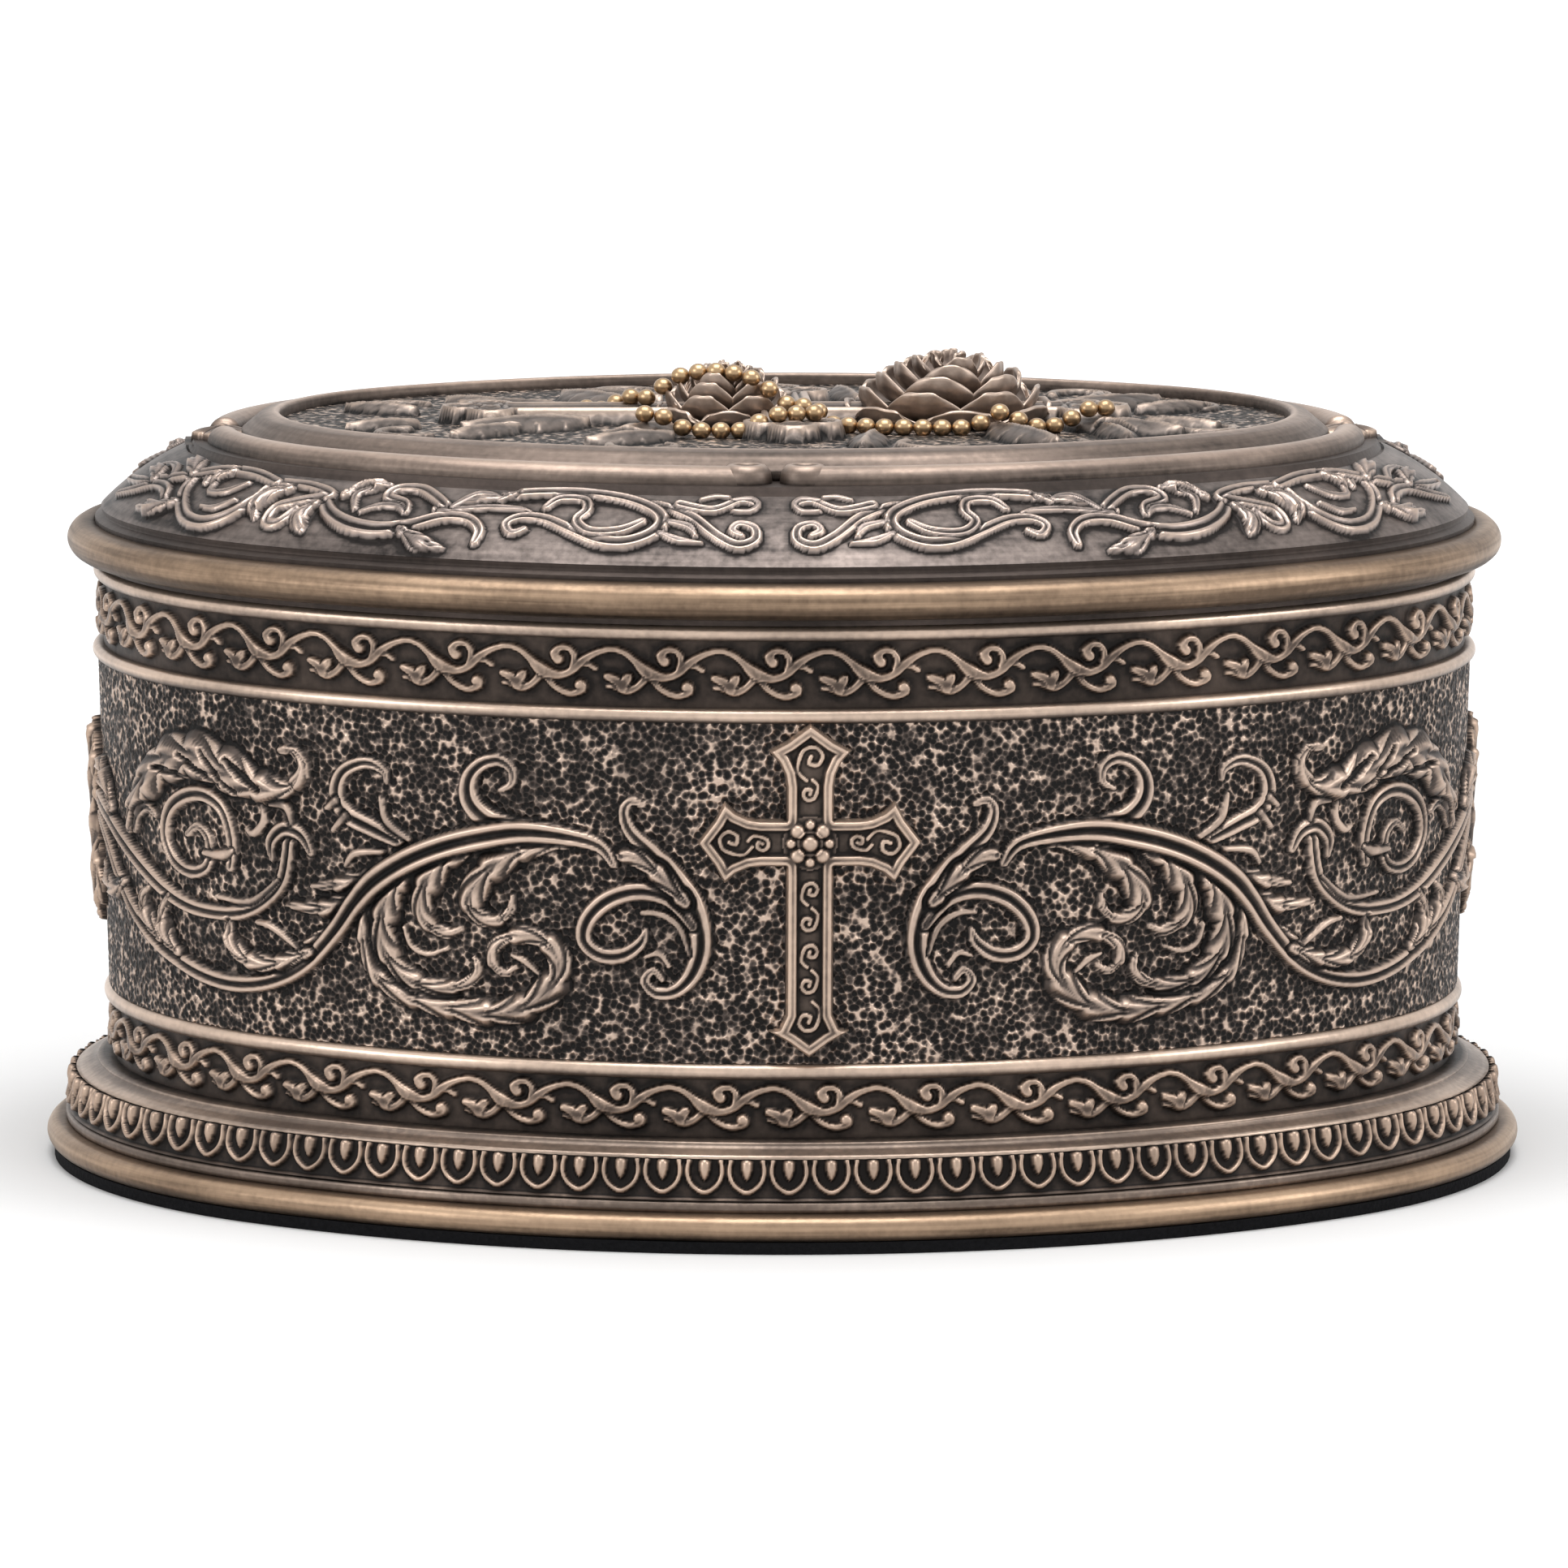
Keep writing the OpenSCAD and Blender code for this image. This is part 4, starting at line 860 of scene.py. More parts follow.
WALL_SCROLL: list[Stroke] = [
    *strokes(Cut.STEM, 1.0,
             [(12.2, 22.1, 0.6), (12.9, 22.8, 0.7), (13.6, 21.9, 0.9), (12.6, 20.9, 1.1), (10.9, 21.2, 1.3),
              (9.5, 22.8, 1.7), (8.9, 25.2, 1.9), (9.5, 28, 2.2), (11, 30.4, 2.2), (13, 32.6, 1.7),
              (14.8, 34.4, 1.2), (15.3, 36, 1), (14.7, 36.9, 0.8), (13.7, 36.6, 0.6)],
             [(9.6, 26.6, 1), (11.4, 28.7, 1.4), (13.9, 29.4, 1.6), (16.5, 28.7, 1.7), (18.3, 27, 1.6),
              (18.7, 25.2, 1.4), (17.4, 24, 1.4), (15.5, 24, 1.4), (14, 25, 1.1), (13.5, 26.2, 0.5)],
             [(24, 34.4, 1.2), (26.8, 34.9, 1.9), (28.4, 36.4, 1.8), (28.5, 38.2, 1.5), (27.4, 39.5, 1.3),
              (25.9, 39.9, 1.1), (24.8, 39.2, 0.9), (24.8, 38, 0.7), (25.8, 37.4, 0.5)],
             [(35, 32.6, 1.2), (37.5, 33.6, 1.6), (39.8, 34.6, 1.7), (40.7, 36.3, 1.5), (40, 38.1, 1.3),
              (37.9, 39, 1.1), (36.2, 38.4, 0.8), (36, 37.5, 0.5)]),
    *strokes(Cut.LEAF, 0.95,
             [(38.4, 28, 1), (38.2, 25, 1.5), (37.6, 22.6, 1.8), (36.2, 20.6, 1.8), (33.3, 19.5, 1.8),
              (29.8, 18.9, 1.9), (26.3, 18.7, 2), (23.3, 19.6, 2.2), (21.3, 21.4, 2.2), (20.7, 23, 1.9),
              (21.4, 24.5, 1.6), (23, 25.3, 1.4), (24.9, 25.2, 1.3), (26.4, 24.3, 1.1), (26.6, 22.9, 0.9),
              (25.6, 22.1, 0.8), (24.6, 22.6, 0.6)],
             [(32, 31.8, 1.2), (34.9, 29.3, 2), (36.3, 26.4, 2.2), (36.2, 23.6, 2), (34.4, 21.4, 1.6),
              (31.5, 20.5, 1.3), (29, 21, 1.1), (27.8, 22.2, 0.8), (28.2, 23.2, 0.5)],
             [(27, 33.6, 1.2), (30.3, 31.8, 2), (32.3, 29.3, 2.2), (32.8, 27.1, 1.8), (32, 25.7, 1.3),
              (30.6, 25.2, 1), (29.3, 25.6, 0.5)],
             [(20, 33.4, 1), (23.8, 32.5, 1.7), (26.3, 31.1, 2.2), (28, 29.2, 2.2), (28.4, 27.6, 1.7),
              (27.4, 26.6, 1.3), (26, 26.5, 1), (25, 27.4, 0.8), (24.8, 28.5, 0.5)],
             [(10.2, 28.6, 1.2), (12.5, 31, 1.6), (14.6, 32.3, 1.3), (16.4, 32.1, 0.6)],
             [(37.6, 29.6, 1), (40, 28.7, 1.4), (43.3, 28.2, 0.5)],
             [(39, 27.7, 1), (41.8, 26.5, 1.5), (46, 26.4, 0.5)],
             [(41, 25, 0.8), (42.9, 23.6, 1.3), (44.8, 22.7, 0.5)]),
    *strokes(Cut.STEM, 1.1,
             [(16.2, 31.6, 0.8), (17.4, 33.1, 1.2), (20.3, 33.8, 1.6), (24, 34, 2), (27.5, 33.4, 2.2),
              (31, 32.4, 2.2), (34.2, 31, 2.2), (37, 29.2, 2.2), (39, 27.2, 1.9), (41, 24.6, 1.7),
              (44, 21.6, 1.6), (47.5, 19.8, 1.5), (51.5, 19.1, 1.5), (55.5, 19.4, 1.5), (59.5, 20.4, 1.5),
              (63, 21.6, 1.5), (67, 23.6, 1.4), (70.5, 26, 1.3), (74, 28.4, 1.2), (78, 30, 1.2)],
             [(45.5, 32, 1.2), (46.2, 28.6, 1.3), (48, 26.6, 1.3), (50.6, 25.3, 1.3), (53.8, 24.9, 1.3),
              (57.3, 25.1, 1.4), (60.8, 26, 1.5), (64.8, 27.6, 1.6), (68.8, 29.2, 1.6), (73, 30.6, 1.5),
              (78, 31.6, 1.5)]),
    *strokes(Cut.LEAF, 1.05,
             [(43.6, 22.6, 0.9), (47.3, 21.3, 1.4), (50.3, 21.4, 1.4), (52.1, 22.7, 1.2), (52.2, 24.4, 0.5)],
             [(46.2, 39.4, 0.7), (44.8, 39.4, 1), (44, 38, 1.2), (45.2, 36.4, 1.4), (47.6, 36, 2.2),
              (50.3, 36.6, 3), (53.3, 37.6, 3.4), (56.3, 38, 3.4), (59.8, 37.3, 3.3), (63, 35.4, 3),
              (65.6, 32.8, 2.2), (67.3, 30.6, 1.2)],
             [(59, 20.9, 0.8), (60.8, 22, 1.4), (61.4, 24, 1.2), (60.4, 25.6, 0.5)],
             [(61.8, 21.7, 0.8), (63.8, 23, 1.4), (64.8, 24.8, 1.2), (63.8, 25.8, 0.5)],
             [(69, 25.6, 0.8), (71.4, 24.6, 1.4), (74.2, 24.8, 1.3), (76.6, 26.2, 0.5)],
             [(72, 31.4, 0.8), (74, 33.4, 1.5), (76.6, 34.6, 1.4), (78.6, 34.4, 0.6)]),
    *strokes(Cut.STEM, 1.0,
             [(43.4, 31, 0.8), (44.3, 32.4, 1.2), (46, 32.8, 1.4), (47.4, 31.6, 1.2), (47.4, 30.1, 0.6)],
             [(52, 29, 1), (51.8, 31.4, 1.2), (52.8, 33.8, 1.3), (55, 34.8, 1.4), (57.6, 34.4, 1.5),
              (59.8, 33, 1.5), (60.6, 30.8, 1.4), (59.4, 28.8, 1.3), (57, 28, 1.2), (54.8, 28.8, 1.1),
              (54.6, 31, 1), (56, 32, 0.8), (57.4, 31.2, 0.7)],
             [(62.3, 32.2, 0.7), (63.8, 32.7, 0.9), (65.6, 31.7, 0.9), (66.3, 30.3, 0.6)]),
    *strokes(Cut.LINE, 0.9,
             [(9.9, 24.2, 0.5), (10.7, 26.4, 0.7), (12.2, 27.5, 0.7), (13.8, 27.6, 0.5)],
             [(34.5, 25.4, 0.5), (33.9, 23.9, 0.6), (32.4, 23.3, 0.6), (30.6, 23.9, 0.4)],
             [(34, 32.8, 0.6), (36, 34.2, 0.8), (36.6, 36.2, 0.5)],
             [(36.5, 31.6, 0.6), (39, 31.3, 0.8), (40, 30.2, 0.5)],
             [(40.8, 35.6, 0.9), (41.8, 34.9, 0.5)], [(39.9, 34.4, 0.9), (41.2, 33.1, 0.5)],
             [(45, 22.8, 0.5), (47.4, 24.3, 0.8), (49.2, 24.6, 0.5)],
             [(46.8, 28.4, 0.5), (49.8, 26.3, 0.7), (53.8, 26.3, 0.5)],
             [(48.3, 35.9, 0.4), (50.2, 37, 0.5), (51.8, 38.2, 0.3)],
             [(50.8, 35.2, 0.4), (53, 36.8, 0.5), (54.8, 38.6, 0.3)],
             [(52.8, 35.8, 0.4), (55.4, 37, 0.5), (57.8, 38, 0.3)],
             [(57.3, 36, 0.4), (59.6, 36.4, 0.5), (61.8, 36.4, 0.3)],
             [(51.7, 30.4, 0.6), (52.9, 29.9, 1), (55.3, 29.8, 0.6)],
             [(45.3, 33.3, 0.5), (45.8, 34.7, 0.9), (47.5, 34.7, 0.5)],
             [(48.3, 34.6, 0.5), (48.2, 33.2, 0.8), (49.3, 32.1, 0.8), (50.2, 32.4, 0.4)],
             [(22.6, 22.2, 0.5), (23.8, 23.2, 0.7), (24.9, 23.6, 0.4)],
             [(11.6, 23.2, 0.5), (12.4, 24.2, 0.6), (13.6, 23.9, 0.4)])
]

END_LEAF: list[Stroke] = strokes(
    Cut.LEAF, 0.95,
    *mirrored([(0, 28, 1.2), (2, 26.2, 1.6), (3.2, 23.8, 1.2), (3, 22.2, 0.6)],
              [(0, 29, 1.4), (1.9, 31.4, 1.6), (2.8, 34, 1.5), (2.2, 36.2, 1.2), (1.4, 36.4, 0.6)]),
    [(0, 20.5, 0.6), (0, 23, 2.4), (0, 26.5, 2.8), (0, 30, 3.4), (0, 33, 3), (0, 35.6, 2.2), (0, 37.6, 1)])


def polygon_depth(u: np.ndarray, v: np.ndarray, corners: np.ndarray) -> np.ndarray:
    """Measures how far points lie inside a polygon.

    Args:
        u: Places along.
        v: Places up.
        corners: The polygon's corners.

    Returns:
        Distances to its edge, below nought outside.
    """
    shape = np.broadcast(u, v).shape
    near, inside = np.full(shape, 1e9), np.zeros(shape, bool)
    for a, b in zip(corners, np.roll(corners, -1, axis=0)):
        du, dv = b - a
        share = np.clip(((u - a[0]) * du + (v - a[1]) * dv) / (du * du + dv * dv), 0, 1)
        near = np.minimum(near, np.hypot(u - a[0] - share * du, v - a[1] - share * dv))
        if abs(dv) > 1e-9:
            inside ^= ((a[1] > v) != (b[1] > v)) & (u < a[0] + (v - a[1]) * du / dv)
    return np.where(inside, near, -near)


def ridge(depth: np.ndarray, middle: float, half: float) -> np.ndarray:
    """Shapes a raised line that follows an outline.

    Args:
        depth: Distances inside the outline.
        middle: Distance of the line's middle.
        half: Half its width.

    Returns:
        Shares of its height.
    """
    return np.sqrt(np.clip(1 - ((depth - middle) / half) ** 2, 0, 1))


@dataclass
class WallField:
    """The stippled field with its scrolls, crosses and end leaves.

    The cross has its crossing at cross_z and arms of reach, up and down, half wide and flared at their ends.
    A curl or a spur is placed and turned by its arm mark: across, up, size and angle.
    """

    dresser: Dresser
    step: float = 0.17
    cross_step: float = 0.11
    leaf_step: float = 0.13
    pebble: float = 0.72
    pebble_tall: float = 0.1
    pebble_seed: int = 7
    proud: float = 0.05
    sunk: float = -0.4
    cross_z: float = 33.6
    reach: float = 9.3
    up: float = 10.0
    down: float = 18.0
    half: float = 2.0
    flare: float = 3.5
    disc: float = 2.25
    curl: tuple[tuple[float, float], ...] = (
        (-0.9, -0.1), (-0.5, 0.75), (0.4, 0.95), (0.95, 0.3), (0.6, -0.45), (-0.1, -0.35), (0.05, 0.2))
    spur: tuple[tuple[float, float], ...] = ((-0.9, -0.1), (-1.0, -1.0), (-0.3, -1.7))
    arm_marks: tuple[tuple[float, float, float, float], ...] = (
        (0, 7.0, 1.05, 0), (0, 4.2, 0.62, 180), (6.4, 0, 1.0, 270), (4.0, 0, 0.62, 90), (-6.4, 0, 1.0, 90),
        (-4.0, 0, 0.62, 270), (0, -4.0, 0.68, 0), (0, -6.6, 0.68, 180), (0, -9.2, 0.68, 0),
        (0, -11.8, 0.68, 180), (0, -14.8, 0.9, 180))

    def place(self, run: np.ndarray, z: np.ndarray, lift: np.ndarray) -> np.ndarray:
        """Puts a relief on the wall's face.

        Args:
            run: Runs of the columns.
            z: Heights of the rows.
            lift: Heights over the face.

        Returns:
            The points.
        """
        x, y = OVAL.spot(run[None, :] + 0 * lift, AT.wall(z)[:, None] + lift)
        return np.stack([x, y, z[:, None] + 0 * x], axis=-1)

    def quarter(self) -> Relief:
        """Draws the scroll of one quarter on its stippled ground."""
        relief = Relief(0, OVAL.half_run / 2, AT.field_low, AT.field_high, self.step)
        for stroke in WALL_SCROLL:
            relief.draw(stroke)
        relief.pebbles(self.pebble, self.pebble_tall, self.pebble_seed)
        return relief

    def build_fields(self) -> None:
        """Builds the four quarters of the field."""
        relief = self.quarter()
        wear = relief.wear()
        bare = blur((~relief.drawn).astype(float), 1)
        for hand, side in ((1, "right"), (-1, "left")):
            order = slice(None, None, hand)
            points = self.place(hand * relief.u[order], relief.v, relief.height[:, order] + self.proud)
            for face, other in (("front", side), ("back", other_side(side))):
                piece = sheet(f"field_{face}_{other}", points if face == "front" else turned(points),
                              wear[:, order], ground=bare[:, order])
                self.dresser.hand_over(piece, "box", WALL, f"scroll_{face}_{other}")

    def cross_corners(self) -> np.ndarray:
        """Lists the corners of the cross's outline."""
        h, f, arm, up, down = self.half, self.flare, self.reach, self.up, self.down
        shoulder, taper, foot = 2.3, 3.0, 1.4
        m, low, wide = (f + 2 * h) / 3, 0.34 * taper, 0.3 * (f - h)
        right = [(0, up), (f * 0.55, up - 1.45), (f, up - shoulder), (h + wide * 1.3, up - shoulder - low),
                 (h + wide * 0.3, up - shoulder - 2 * low), (h, up - shoulder - taper), (h, h),
                 (arm - shoulder - taper, h), (arm - shoulder - 2 * low, h + wide * 0.3),
                 (arm - shoulder - low, h + wide * 1.3), (arm - shoulder, f),
                 (arm - 1.45, f * 0.55), (arm, 0), (arm - 1.45, -f * 0.55),
                 (arm - shoulder, -f), (arm - shoulder - low, -h - wide * 1.3),
                 (arm - shoulder - 2 * low, -h - wide * 0.3), (arm - shoulder - taper, -h), (h, -h),
                 (h, foot + shoulder - down), (m, shoulder + 0.3 - down), (f, shoulder - down),
                 (f * 0.5, 1.3 - down), (0, -down)]
        return np.array(right + [(-u, v) for u, v in right[-2:0:-1]])

    def build_crosses(self) -> None:
        """Builds the crosses of front and back, each with its rosette."""
        relief = Relief(-self.reach - 0.6, self.reach + 0.6, self.cross_z - self.down - 0.4,
                        self.cross_z + self.up + 0.3, self.cross_step)
        z = self.cross_z
        for cu, cv, size, angle in self.arm_marks:
            c, s = math.cos(math.radians(angle)) * size, math.sin(math.radians(angle)) * size
            for knots, wide in ((self.curl, 0.42), (self.spur, 0.36)):
                path = tuple((cu + a * c - b * s, z + cv + a * s + b * c, wide) for a, b in knots)
                relief.draw(Stroke(path, Cut.FLAT, 0.62))
        u, v = relief.u[None, :], relief.v[:, None]
        depth = polygon_depth(u, v, self.cross_corners() + np.array([0, z]))
        rim = np.clip(np.minimum(depth / 0.28, (1.02 - depth) / 0.25), 0, 1) ** 0.6
        line = ridge(depth, 0.62, 0.2)
        lift = np.clip(depth / 0.3, 0, 1) ** 0.5 * 0.55 + 0.6 * rim - 0.14 * line
        lift = lift + np.where(depth > 1.02, 0.85 * relief.height, 0)
        disc = np.hypot(u, v - z)
        lift = np.where(disc < self.disc, np.maximum(lift, 0.72), lift)
        for a in np.radians(np.arange(0, 360, 45)):
            far, wide = (1.45, 0.62) if round(math.degrees(a)) % 90 else (1.55, 0.44)
            lift = self.ball(lift, u, v, far * math.cos(a), far * math.sin(a), wide)
        lift = self.ball(lift, u, v, 0.0, 0.0, 0.72)
        lift += 0.25 * ridge(disc, 0.95, 0.18)
        relief.height = np.where(depth > 0, lift, self.sunk)
        wear = relief.wear(0.95, 0.7)
        points = self.place(relief.u, relief.v, relief.height)
        for face in ("front", "back"):
            piece = sheet(f"cross_{face}", points if face == "front" else turned(points), wear)
            self.dresser.hand_over(piece, "box", PALE, f"{face}_cross", f"{face}_rosette")

    def ball(self, lift: np.ndarray, u: np.ndarray, v: np.ndarray, across: float, over: float,
             r: float) -> np.ndarray:
        """Sets a small ball on the cross.

        Args:
            lift: Heights so far.
            u: Places along.
            v: Places up.
            across: The ball's place along, from the crossing.
            over: The ball's place up, from the crossing.
            r: Its radius.

        Returns:
            The new heights.
        """
        gap = r * r - (u - across) ** 2 - (v - self.cross_z - over) ** 2
        return np.where(gap > 0, np.maximum(lift, 0.8 + 0.9 * np.sqrt(np.maximum(gap, 0))), lift)

    def build_end_leaves(self) -> None:
        """Builds the upright leaf at each end."""
        relief = Relief(-4.6, 4.6, 19.6, 38.8, self.leaf_step)
        for stroke in END_LEAF:
            relief.draw(stroke)
        wear = relief.wear()
        lift = np.where(relief.height > 0.05, relief.height + 0.25, self.sunk)
        points = self.place(relief.u + OVAL.half_run / 2, relief.v, lift)
        for side in ("right", "left"):
            piece = sheet(f"end_leaf_{side}", points if side == "right" else turned(points), wear)
            self.dresser.hand_over(piece, "box", BRONZE, f"end_palmette_{side}")

    def build(self) -> None:
        """Builds the whole field."""
        self.build_fields()
        self.build_crosses()
        self.build_end_leaves()
        self.dresser.dress_node("box_shell", CAST)


VINE_WAVE: list[list[Knot]] = [
    [(2.5, 0.3, 0.6), (2.62, 1.15, 0.5), (2.2, 1.77, 0.46), (1.5, 1.84, 0.5), (1.0, 1.4, 0.7),
     (1.3, 0.98, 0.8)],
    [(0, 0, 0.9), (-0.27, -0.4, 0.6), (-0.95, -1.02, 0.55), (-1.77, -1.29, 0.6), (-2.7, -1.05, 0.4),
     (-3.3, -0.98, 0.25)],
    [(-2.0, -1.1, 0.8), (-2.5, -0.55, 0.75), (-3.3, -0.25, 0.55)],
    [(-2.0, -1.0, 0.7), (-1.75, -0.45, 0.8), (-1.5, -0.2, 0.5)],
    [(0.1, -0.1, 0.8), (0.4, -0.5, 0.5), (0.95, -1.08, 0.46), (1.9, -1.56, 0.46), (2.7, -1.56, 0.5),
     (3.25, -1.22, 0.72), (3.12, -0.95, 0.86)],
    [(3.2, 0.75, 0.6), (3.7, 0.65, 0.42), (4.3, 0.32, 0.4)],
    [(-0.95, 0.88, 0.6), (0, 0.14, 1.0), (1.36, -0.23, 0.62), (2.45, 0.14, 0.6), (3.27, 0.88, 0.66),
     (4.35, 1.5, 0.52), (5.58, 1.81, 0.46), (6.67, 1.56, 0.48), (7.62, 0.88, 0.6), (8.57, 0.14, 1.0)],
]


@dataclass
class Bands:
    """The running vines and the mouldings of the body.

    A wave is drawn wave_long by wave_tall, fitted to its band, and its strokes are made bolder.
    """

    dresser: Dresser
    upper_waves: int = 37
    lower_waves: int = 38
    wave_long: float = 8.57
    wave_tall: float = 5.05
    bolder: float = 1.38
    upper_seat: float = -1.2
    least_wear: float = 0.16
    step: float = 0.16

    def vine(self, name: str, waves: int, low: float, high: float, face: float, *nodes: str) -> None:
        """Builds one band with its vine.

        Args:
            name: Name of the piece.
            waves: Number of waves.
            low: Foot of the band.
            high: Top of the band.
            face: Offset of the band's face.
            *nodes: The solids that it stands for.
        """
        pitch, middle = 2 * OVAL.half_run / waves, (low + high) / 2
        relief = Relief(0, pitch, low, high, self.step)
        scale, tall = pitch / self.wave_long, (high - low) / self.wave_tall
        for shift in (-pitch, 0, pitch, 2 * pitch):
            for knots in VINE_WAVE:
                path = tuple((u * scale + shift, middle + tall * v, self.bolder * w) for u, v, w in knots)
                relief.draw(Stroke(path, Cut.FLAT, 0.85))
        points = all_round(face + 0.05 + tiled(relief.height, waves), relief.v[:, None])
        wear = tiled(np.maximum(relief.wear(1.0, 0.7), self.least_wear), waves)
        self.dresser.hand_over(sheet(name, points, wear, merge=True), "box", BRONZE, *nodes)

    def bead(self, name: str, off: float, foot: float, r: float, back: float, node: str) -> None:
        """Builds a half-round bead let into the wall.

        Args:
            name: Name of the piece.
            off: Offset of its middle.
            foot: Height of its foot.
            r: Its radius.
            back: Offset of its back.
            node: The solid that it stands for.
        """
        z = foot + r
        corners = [*half_round(off, z, r, 12), (back, z + r, 0.1), (back, z - r, 0.1)]
        self.dresser.hand_over(ring(name, *closed_profile(corners, 1), wave=0.02), "box", MOULDED, node)

    def build(self) -> None:
        """Builds the vines and the mouldings."""
        self.vine("vine_upper", self.upper_waves, AT.upper_band_low, AT.upper_band_high, AT.upper_face,
                  "upper_vine")
        self.vine("vine_lower", self.lower_waves, AT.fascia_top, AT.lower_band_top, AT.lower_face,
                  "lower_vine")
        self.bead("bead_lower", -0.9, AT.lower_band_top, 0.7, AT.seat, "lower_bead_ring")
        self.bead("bead_upper", 0.0, AT.field_high, 0.6, self.upper_seat, "upper_bead_ring")
        self.bead("mouth_round", -0.15, AT.upper_band_high, 0.65, self.upper_seat, "mouth_moulding")
        for node in ("upper_band", "lower_band"):
            self.dresser.dress_node(node, CAST)


@dataclass
class Foot:
    """The foot with its eggs and darts, and the felt under it.

    The neck lists offset, height and wear; shell and egg list place along, place up the slope and width.
    """

    dresser: Dresser
    eggs: int = 98
    step: float = 0.14
    round_back: float = 1.0
    neck: tuple[Knot, ...] = (
        (2.9, 3.0, 0.2), (3.15, 3.4, 0.5), (3.15, 4.0, 0.5), (2.8, 4.2, 0.15), (2.05, 7.5, 0.15),
        (2.25, 7.6, 0.7), (0.45, 8.4, 0.45), (0.45, 8.6, 0.6), (-0.15, 8.8, 0.2), (-1.95, 8.8, 0.1),
        (-1.95, 3.0, 0.1))
    shell: tuple[Knot, ...] = (
        (-1.28, 3.3, 0.44), (-1.38, 2.5, 0.46), (-1.26, 1.75, 0.46), (-0.8, 1.1, 0.46), (0, 0.68, 0.5),
        (0.8, 1.1, 0.46), (1.26, 1.75, 0.46), (1.38, 2.5, 0.46), (1.28, 3.3, 0.44))
    egg: tuple[Knot, ...] = ((0, 3.05, 1.0), (0, 2.6, 0.98), (0, 2.2, 0.76), (0, 1.75, 0.3))

    def build_mouldings(self) -> None:
        """Builds the round moulding and the neck and fascia over it."""
        r, z = AT.foot_round, AT.felt_top + AT.foot_round
        corners = [*half_round(AT.foot_spread - r, z, r, 16), (self.round_back, z + r, 0.1),
                   (self.round_back, z - r, 0.1)]
        for name, profile, finish in (("foot_round", closed_profile(corners, 1), GOLD),
                                      ("foot_neck", closed_profile(self.neck, 3), MOULDED)):
            self.dresser.hand_over(ring(name, *profile), "box", finish, "foot_moulding")

    def build_eggs(self) -> None:
        """Builds the row of eggs, with a dart between each two."""
        pitch = 2 * OVAL.half_run / self.eggs
        tall = math.hypot(AT.egg_high - AT.egg_low, AT.egg_out - AT.egg_in)
        relief = Relief(0, pitch, 0, tall, self.step)
        middle = pitch / 2
        for shift in (-pitch, 0, pitch):
            for knots, lift in ((self.shell, 1.05), (self.egg, 1.1)):
                relief.draw(Stroke(tuple((middle + shift + u, v, w) for u, v, w in knots), Cut.LINE, lift))
        relief.draw(Stroke(((-1, 0.05, 0.3), (pitch + 1, 0.05, 0.3)), Cut.LINE, 0.4))
        whole, share = tiled(relief.height, self.eggs), (relief.v / tall)[:, None]
        off = AT.egg_out + (AT.egg_in - AT.egg_out) * share + 0.04 + whole
        z = AT.egg_low + (AT.egg_high - AT.egg_low) * share + 0.2 * whole
        wear = tiled(relief.wear(0.95, 0.6), self.eggs)
        piece = sheet("eggs_and_darts", all_round(off, z), wear, merge=True)
        self.dresser.hand_over(piece, "box", BRONZE, "egg_and_dart")

    def build(self) -> None:
        """Builds the foot and dresses the felt."""
        self.build_mouldings()
        self.build_eggs()
        self.dresser.dress_node("felt_pad", Felt())


# The lid

